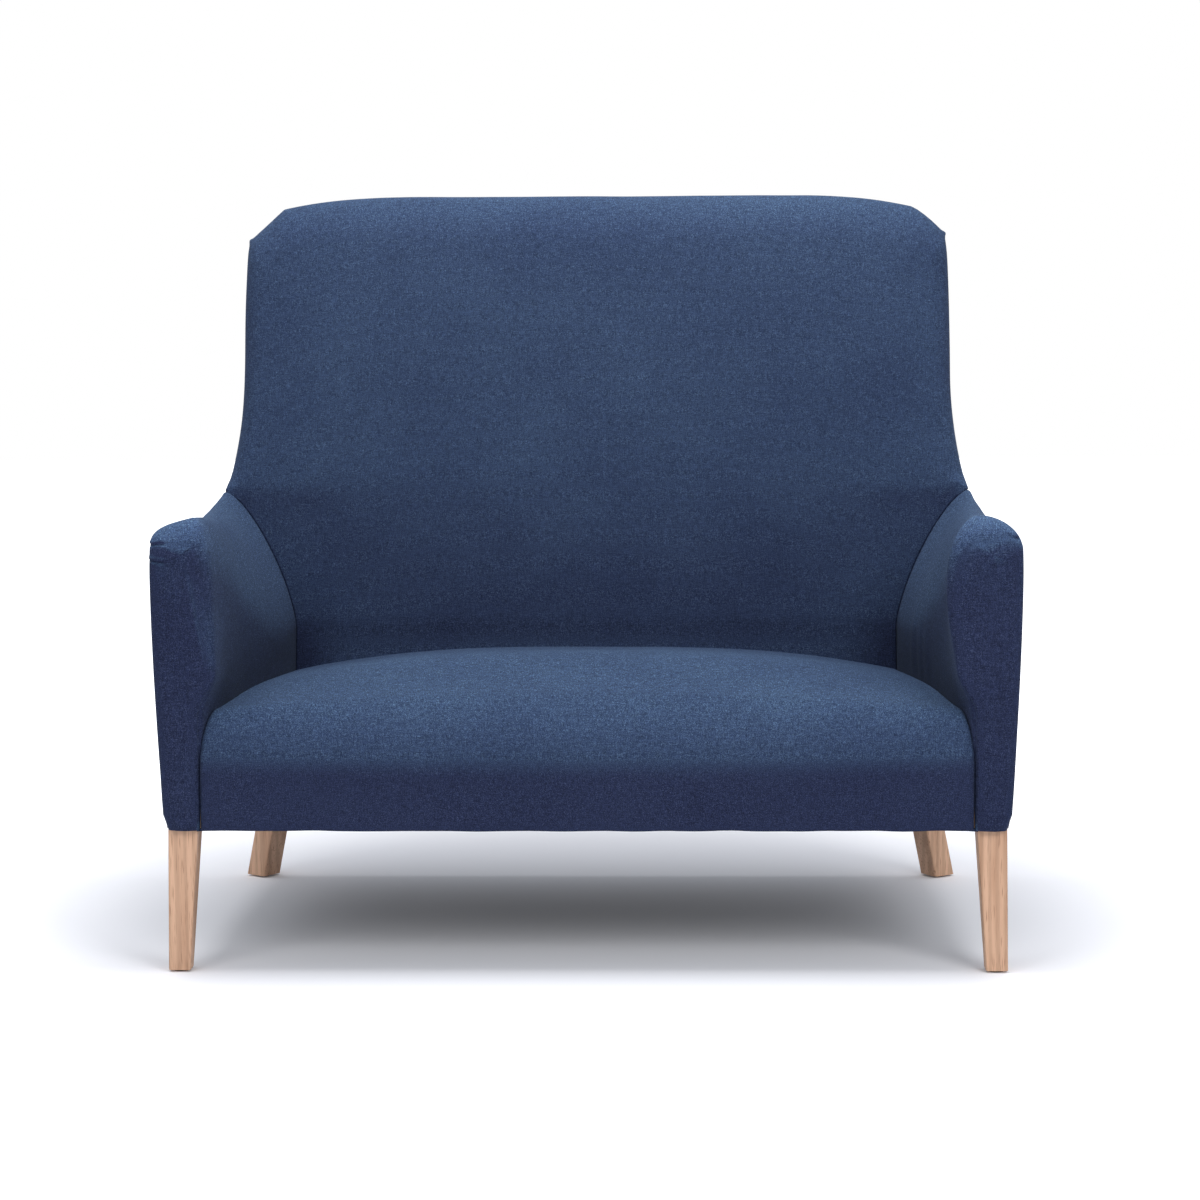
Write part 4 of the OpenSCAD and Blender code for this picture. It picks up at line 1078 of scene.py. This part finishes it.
def wool():
    material, tree, shader, place = new_material("navy_wool")
    fleck = noise_node(tree, scaled(tree, place, fleck_scale), detail=1.5, roughness=0.6)
    body = ramp(tree, fleck, [
        (0.30, (0.008, 0.013, 0.037)),
        (0.46, (0.020, 0.030, 0.072)),
        (0.58, (0.032, 0.048, 0.102)),
        (0.74, (0.090, 0.124, 0.200)),
    ])
    upright = noise_node(tree, scaled(tree, place, upright_scale), detail=1.0)
    level = noise_node(tree, scaled(tree, place, level_scale), detail=1.0)
    yarn = ramp(tree, product(tree, math_node(tree, "ADD", upright, level), 0.5), [
        (0.36, (0.72, 0.72, 0.73)),
        (0.64, (1.29, 1.29, 1.28)),
    ])
    mottle = ramp(tree, noise_node(tree, scaled(tree, place, mottle_scale), roughness=0.6), [
        (0.32, (0.89, 0.89, 0.91)),
        (0.68, (1.11, 1.11, 1.09)),
    ])
    patches = ramp(tree, noise_node(tree, place, patch_scale, detail=3.0), [
        (0.3, (0.90, 0.90, 0.93)),
        (0.7, (1.10, 1.10, 1.07)),
    ])
    # Painted light from above: the cloth is paler and greener where it faces up and darker where it stands
    # upright.
    upward = axes(tree, add(tree, "ShaderNodeNewGeometry").outputs["Normal"])["Z"]
    painted_overhead_light = ramp(tree, upward, [
        (0.0, (0.64, 0.60, 0.68)),
        (0.21, (1.02, 1.15, 1.08)),
        (0.45, (1.08, 1.23, 1.17)),
        (0.9, (1.22, 1.46, 1.33)),
    ])
    colour = body
    for tone in (yarn, mottle, patches, painted_overhead_light, painted_shade_and_highlight(tree, place, upward)):
        colour = toned(tree, colour, tone)
    tree.links.new(colour, shader.inputs["Base Color"])
    rough = ramp(tree, fleck, [(0.2, (0.78, 0.78, 0.78)), (0.8, (0.95, 0.95, 0.95))])
    tree.links.new(rough, shader.inputs["Roughness"])
    threads = weave_height(tree, place, wool_thread_m)
    height = math_node(tree, "ADD", product(tree, threads, 0.35), fleck)
    bumped(tree, shader, height, strength=0.5, distance=0.0006)
    fill(shader, Sheen_Weight=0.05, Sheen_Roughness=0.5, Sheen_Tint=(0.5, 0.72, 0.95, 1))
    fill(shader, Specular_IOR_Level=0.12)
    return material


band_scale, ring_scale, pore_scale = (38, 38, 3.2), (1, 1, 0.06), (900, 900, 28)


def timber(name, pale, dark, line, roughness):
    material, tree, shader, place = new_material(name)
    bands = noise_node(tree, scaled(tree, place, band_scale), detail=4.0, roughness=0.55)
    body = ramp(tree, bands, [(0.32, dark), (0.5, pale), (0.68, tuple(c * 1.08 for c in pale))])
    rings = add(tree, "ShaderNodeTexWave", wave_type="BANDS", bands_direction="X")
    fill(rings, Scale=26, Distortion=5.5, Detail=2.5, Detail_Scale=1.2)
    tree.links.new(scaled(tree, place, ring_scale), rings.inputs["Vector"])
    ring_tone = ramp(tree, rings.outputs["Fac"], [(0.1, (0.86, 0.84, 0.82)), (0.75, (1.04, 1.04, 1.04))])
    colour = toned(tree, body, ring_tone)
    pores = noise_node(tree, scaled(tree, place, pore_scale), detail=1.0)
    pore_mask = ramp(tree, pores, [(0.60, (0, 0, 0)), (0.70, (1, 1, 1))])
    tree.links.new(blended(tree, colour, line, pore_mask), shader.inputs["Base Color"])
    wear_and_highlight = ramp(tree, bands, [(0.3, (roughness + 0.12,) * 3), (0.7, (roughness - 0.05,) * 3)])
    tree.links.new(wear_and_highlight, shader.inputs["Roughness"])
    bumped(tree, shader, product(tree, pores, -1.0), strength=0.35, distance=0.0004)
    return material


def speckled(name, dark, pale, scale, roughness, strength=0.3):
    """A fine-grained surface: fibreboard, zinc, nylon, felted cloth or foam."""
    material, tree, shader, place = new_material(name)
    grain = noise_node(tree, place, scale, detail=4.0, roughness=0.65)
    tree.links.new(ramp(tree, grain, [(0.35, dark), (0.65, pale)]), shader.inputs["Base Color"])
    rough = ramp(tree, grain, [(0.3, (roughness - 0.08,) * 3), (0.7, (roughness + 0.08,) * 3)])
    tree.links.new(rough, shader.inputs["Roughness"])
    bumped(tree, shader, grain, strength, distance=0.0003)
    return material


def strap():
    material, tree, shader, place = new_material("webbing")
    threads = weave_height(tree, place, 0.003)
    tone = ramp(tree, math_node(tree, "ADD", threads, 0.5), [
        (0.2, (0.05, 0.03, 0.02)),
        (0.8, (0.12, 0.07, 0.045)),
    ])
    tree.links.new(tone, shader.inputs["Base Color"])
    fill(shader, Roughness=0.85)
    bumped(tree, shader, threads, strength=0.6, distance=0.0006)
    return material


def make_materials():
    steel = speckled("steel", (0.42, 0.43, 0.44), (0.6, 0.61, 0.62), 240, 0.38)
    fill(steel.node_tree.nodes["Principled BSDF"], Metallic=1.0)
    return {
        "navy_wool": wool(),
        "oak": timber("oak", (0.60, 0.37, 0.24), (0.47, 0.27, 0.165), (0.30, 0.15, 0.08), 0.5),
        "beech": timber("beech", (0.58, 0.40, 0.25), (0.48, 0.31, 0.18), (0.34, 0.20, 0.11), 0.6),
        "hardboard": speckled("hardboard", (0.022, 0.015, 0.011), (0.05, 0.035, 0.025), 350, 0.85),
        "webbing": strap(),
        "foam": speckled("foam", (0.68, 0.6, 0.36), (0.82, 0.75, 0.5), 500, 0.9, 0.6),
        "wadding": speckled("wadding", (0.72, 0.72, 0.7), (0.86, 0.86, 0.84), 220, 0.95, 0.7),
        "steel": steel,
        "glide": speckled("glide", (0.018, 0.018, 0.02), (0.04, 0.04, 0.043), 400, 0.5),
        "dust_cloth": speckled("dust_cloth", (0.008, 0.008, 0.009), (0.03, 0.03, 0.033), 900, 0.95, 0.8),
    }


def dress_frame(materials):
    slots = {part["node"]: part["material_slot"] for part in frame["record"]["subparts"]}
    for node_name, obj in frame["nodes"].items():
        for place in obj.material_slots:
            place.link = "OBJECT"
            place.material = materials[slots[node_name]]


def finish_piece(obj, materials, slot, *nodes):
    obj.data.materials.clear()
    obj.data.materials.append(materials[slot])
    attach(obj, "root")
    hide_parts(*nodes)


def make_cover(obj, held, materials, *nodes):
    """Turns a wool cover in under the frame and gives it its unevenness, thickness and material."""
    turn_under(obj)
    ripple(obj, held)
    thicken(obj, cover_t)
    finish_piece(obj, materials, "navy_wool", *nodes)


def make_pieces(materials):
    back = make_back()
    seat = make_seat()
    for obj, held, passes, nodes in (
        (back, back_held, back_passes, ("inside_back_cover", "back_foam")),
        (seat, seat_held, seat_passes, ("seat_cover", "seat_foam", "front_border_wadding")),
    ):
        settle(obj, held, pad_swell, pad_pressure, passes)
        make_cover(obj, held, materials, *nodes)
    for side, word in ((-1, "left"), (1, "right")):
        arm = make_arm(side, word)
        settle(arm, arm_held, arm_swell, arm_pressure, arm_passes)
        make_cover(arm, arm_held, materials, f"arm_cover_{word}", f"arm_foam_{word}")
        outer = make_outer_side(side, word)
        make_cover(outer, outer_held, materials, f"outside_arm_cover_{word}")
    rear = make_outer_back()
    make_cover(rear, outer_held, materials, "outside_back_cover")
    under = make_under_cloth()
    thicken(under, dust_t)
    finish_piece(under, materials, "dust_cloth", "dust_cover")


# Camera, light and floor.
def make_camera():
    data = bpy.data.cameras.new("camera")
    data.sensor_fit = "HORIZONTAL"
    data.sensor_width = 36
    data.lens = 85
    camera = bpy.data.objects.new("camera", data)
    camera.location = (0.1277, -4.4841, 0.972)
    yaw, pitch, roll = 1.4815, 5.858, -0.2626
    turn = Euler((0, 0, math.radians(yaw))).to_matrix()
    tilt = Euler((math.radians(90 - pitch), 0, 0)).to_matrix()
    lean = Euler((0, 0, math.radians(roll))).to_matrix()
    camera.rotation_euler = (turn @ tilt @ lean).to_euler()
    bpy.context.scene.collection.objects.link(camera)
    bpy.context.scene.camera = camera


def make_lamp(name, place, target, size, power):
    data = bpy.data.lights.new(name, "AREA")
    data.shape = "RECTANGLE"
    data.size, data.size_y = size
    data.energy = power
    lamp = bpy.data.objects.new(name, data)
    lamp.location = place
    direction = Vector(target) - Vector(place)
    lamp.rotation_euler = direction.to_track_quat("-Z", "Y").to_euler()
    bpy.context.scene.collection.objects.link(lamp)


def make_light():
    make_lamp("over_light", place=(0, -0.1, 3.0), target=(0, -0.1, 0), size=(2.8, 1.6), power=68)
    make_lamp("right_light", place=(1.9, -3.0, 2.4), target=(0, 0, 0.6), size=(1.6, 1.6), power=49)
    make_lamp("left_light", place=(-1.9, -3.0, 2.4), target=(0, 0, 0.6), size=(1.6, 1.6), power=25)
    world = bpy.data.worlds.new("studio")
    bpy.context.scene.world = world
    world.use_nodes = True
    tree = world.node_tree
    tree.nodes.clear()
    path = add(tree, "ShaderNodeLightPath")
    seen = math_node(tree, "MAXIMUM", path.outputs["Is Camera Ray"], path.outputs["Is Glossy Ray"])
    seen = math_node(tree, "MAXIMUM", seen, path.outputs["Is Transmission Ray"])
    # The sky of the studio is brighter overhead than at the level of the floor.
    height = axes(tree, add(tree, "ShaderNodeTexCoord").outputs["Generated"])["Z"]
    sky = ramp(tree, height, [(0.0, (0.26, 0.268, 0.285)), (1.0, (0.65, 0.68, 0.73))])
    tone = blended(tree, sky, white, seen)
    background = add(tree, "ShaderNodeBackground")
    fill(background, Strength=1.0)
    tree.links.new(tone, background.inputs["Color"])
    output = add(tree, "ShaderNodeOutputWorld")
    tree.links.new(background.outputs[0], output.inputs["Surface"])


floor_half_m, floor_near_m, floor_far_m, floor_glow = 14, 0.6, 1.9, 0.03


def make_floor():
    mesh = bpy.data.meshes.new("floor")
    signs = ((-1, -1), (1, -1), (1, 1), (-1, 1))
    mesh.from_pydata([(x * floor_half_m, y * floor_half_m, 0) for x, y in signs], [], [(0, 1, 2, 3)])
    floor = bpy.data.objects.new("floor", mesh)
    bpy.context.scene.collection.objects.link(floor)
    material, tree, shader, place = new_material("floor")
    fill(shader, Base_Color=(0.90, 0.905, 0.945, 1), Roughness=0.9, Specular_IOR_Level=0.0)
    glow = add(tree, "ShaderNodeEmission")
    fill(glow, Color=(1, 1, 1, 1))
    path = add(tree, "ShaderNodeLightPath")
    length = add(tree, "ShaderNodeVectorMath", operation="LENGTH")
    tree.links.new(place, length.inputs[0])
    fade = fade_node(tree, length.outputs["Value"], floor_near_m, floor_far_m, floor_glow)
    seen = product(tree, path.outputs["Is Camera Ray"], fade)
    tree.links.new(seen, glow.inputs["Strength"])
    both = add(tree, "ShaderNodeAddShader")
    tree.links.new(shader.outputs[0], both.inputs[0])
    tree.links.new(glow.outputs[0], both.inputs[1])
    output = tree.nodes["Material Output"]
    tree.links.new(both.outputs[0], output.inputs["Surface"])
    mesh.materials.append(material)


make_camera()
make_light()
make_floor()
finishes = make_materials()
dress_frame(finishes)
make_pieces(finishes)
bpy.context.scene.view_settings.view_transform = "Standard"
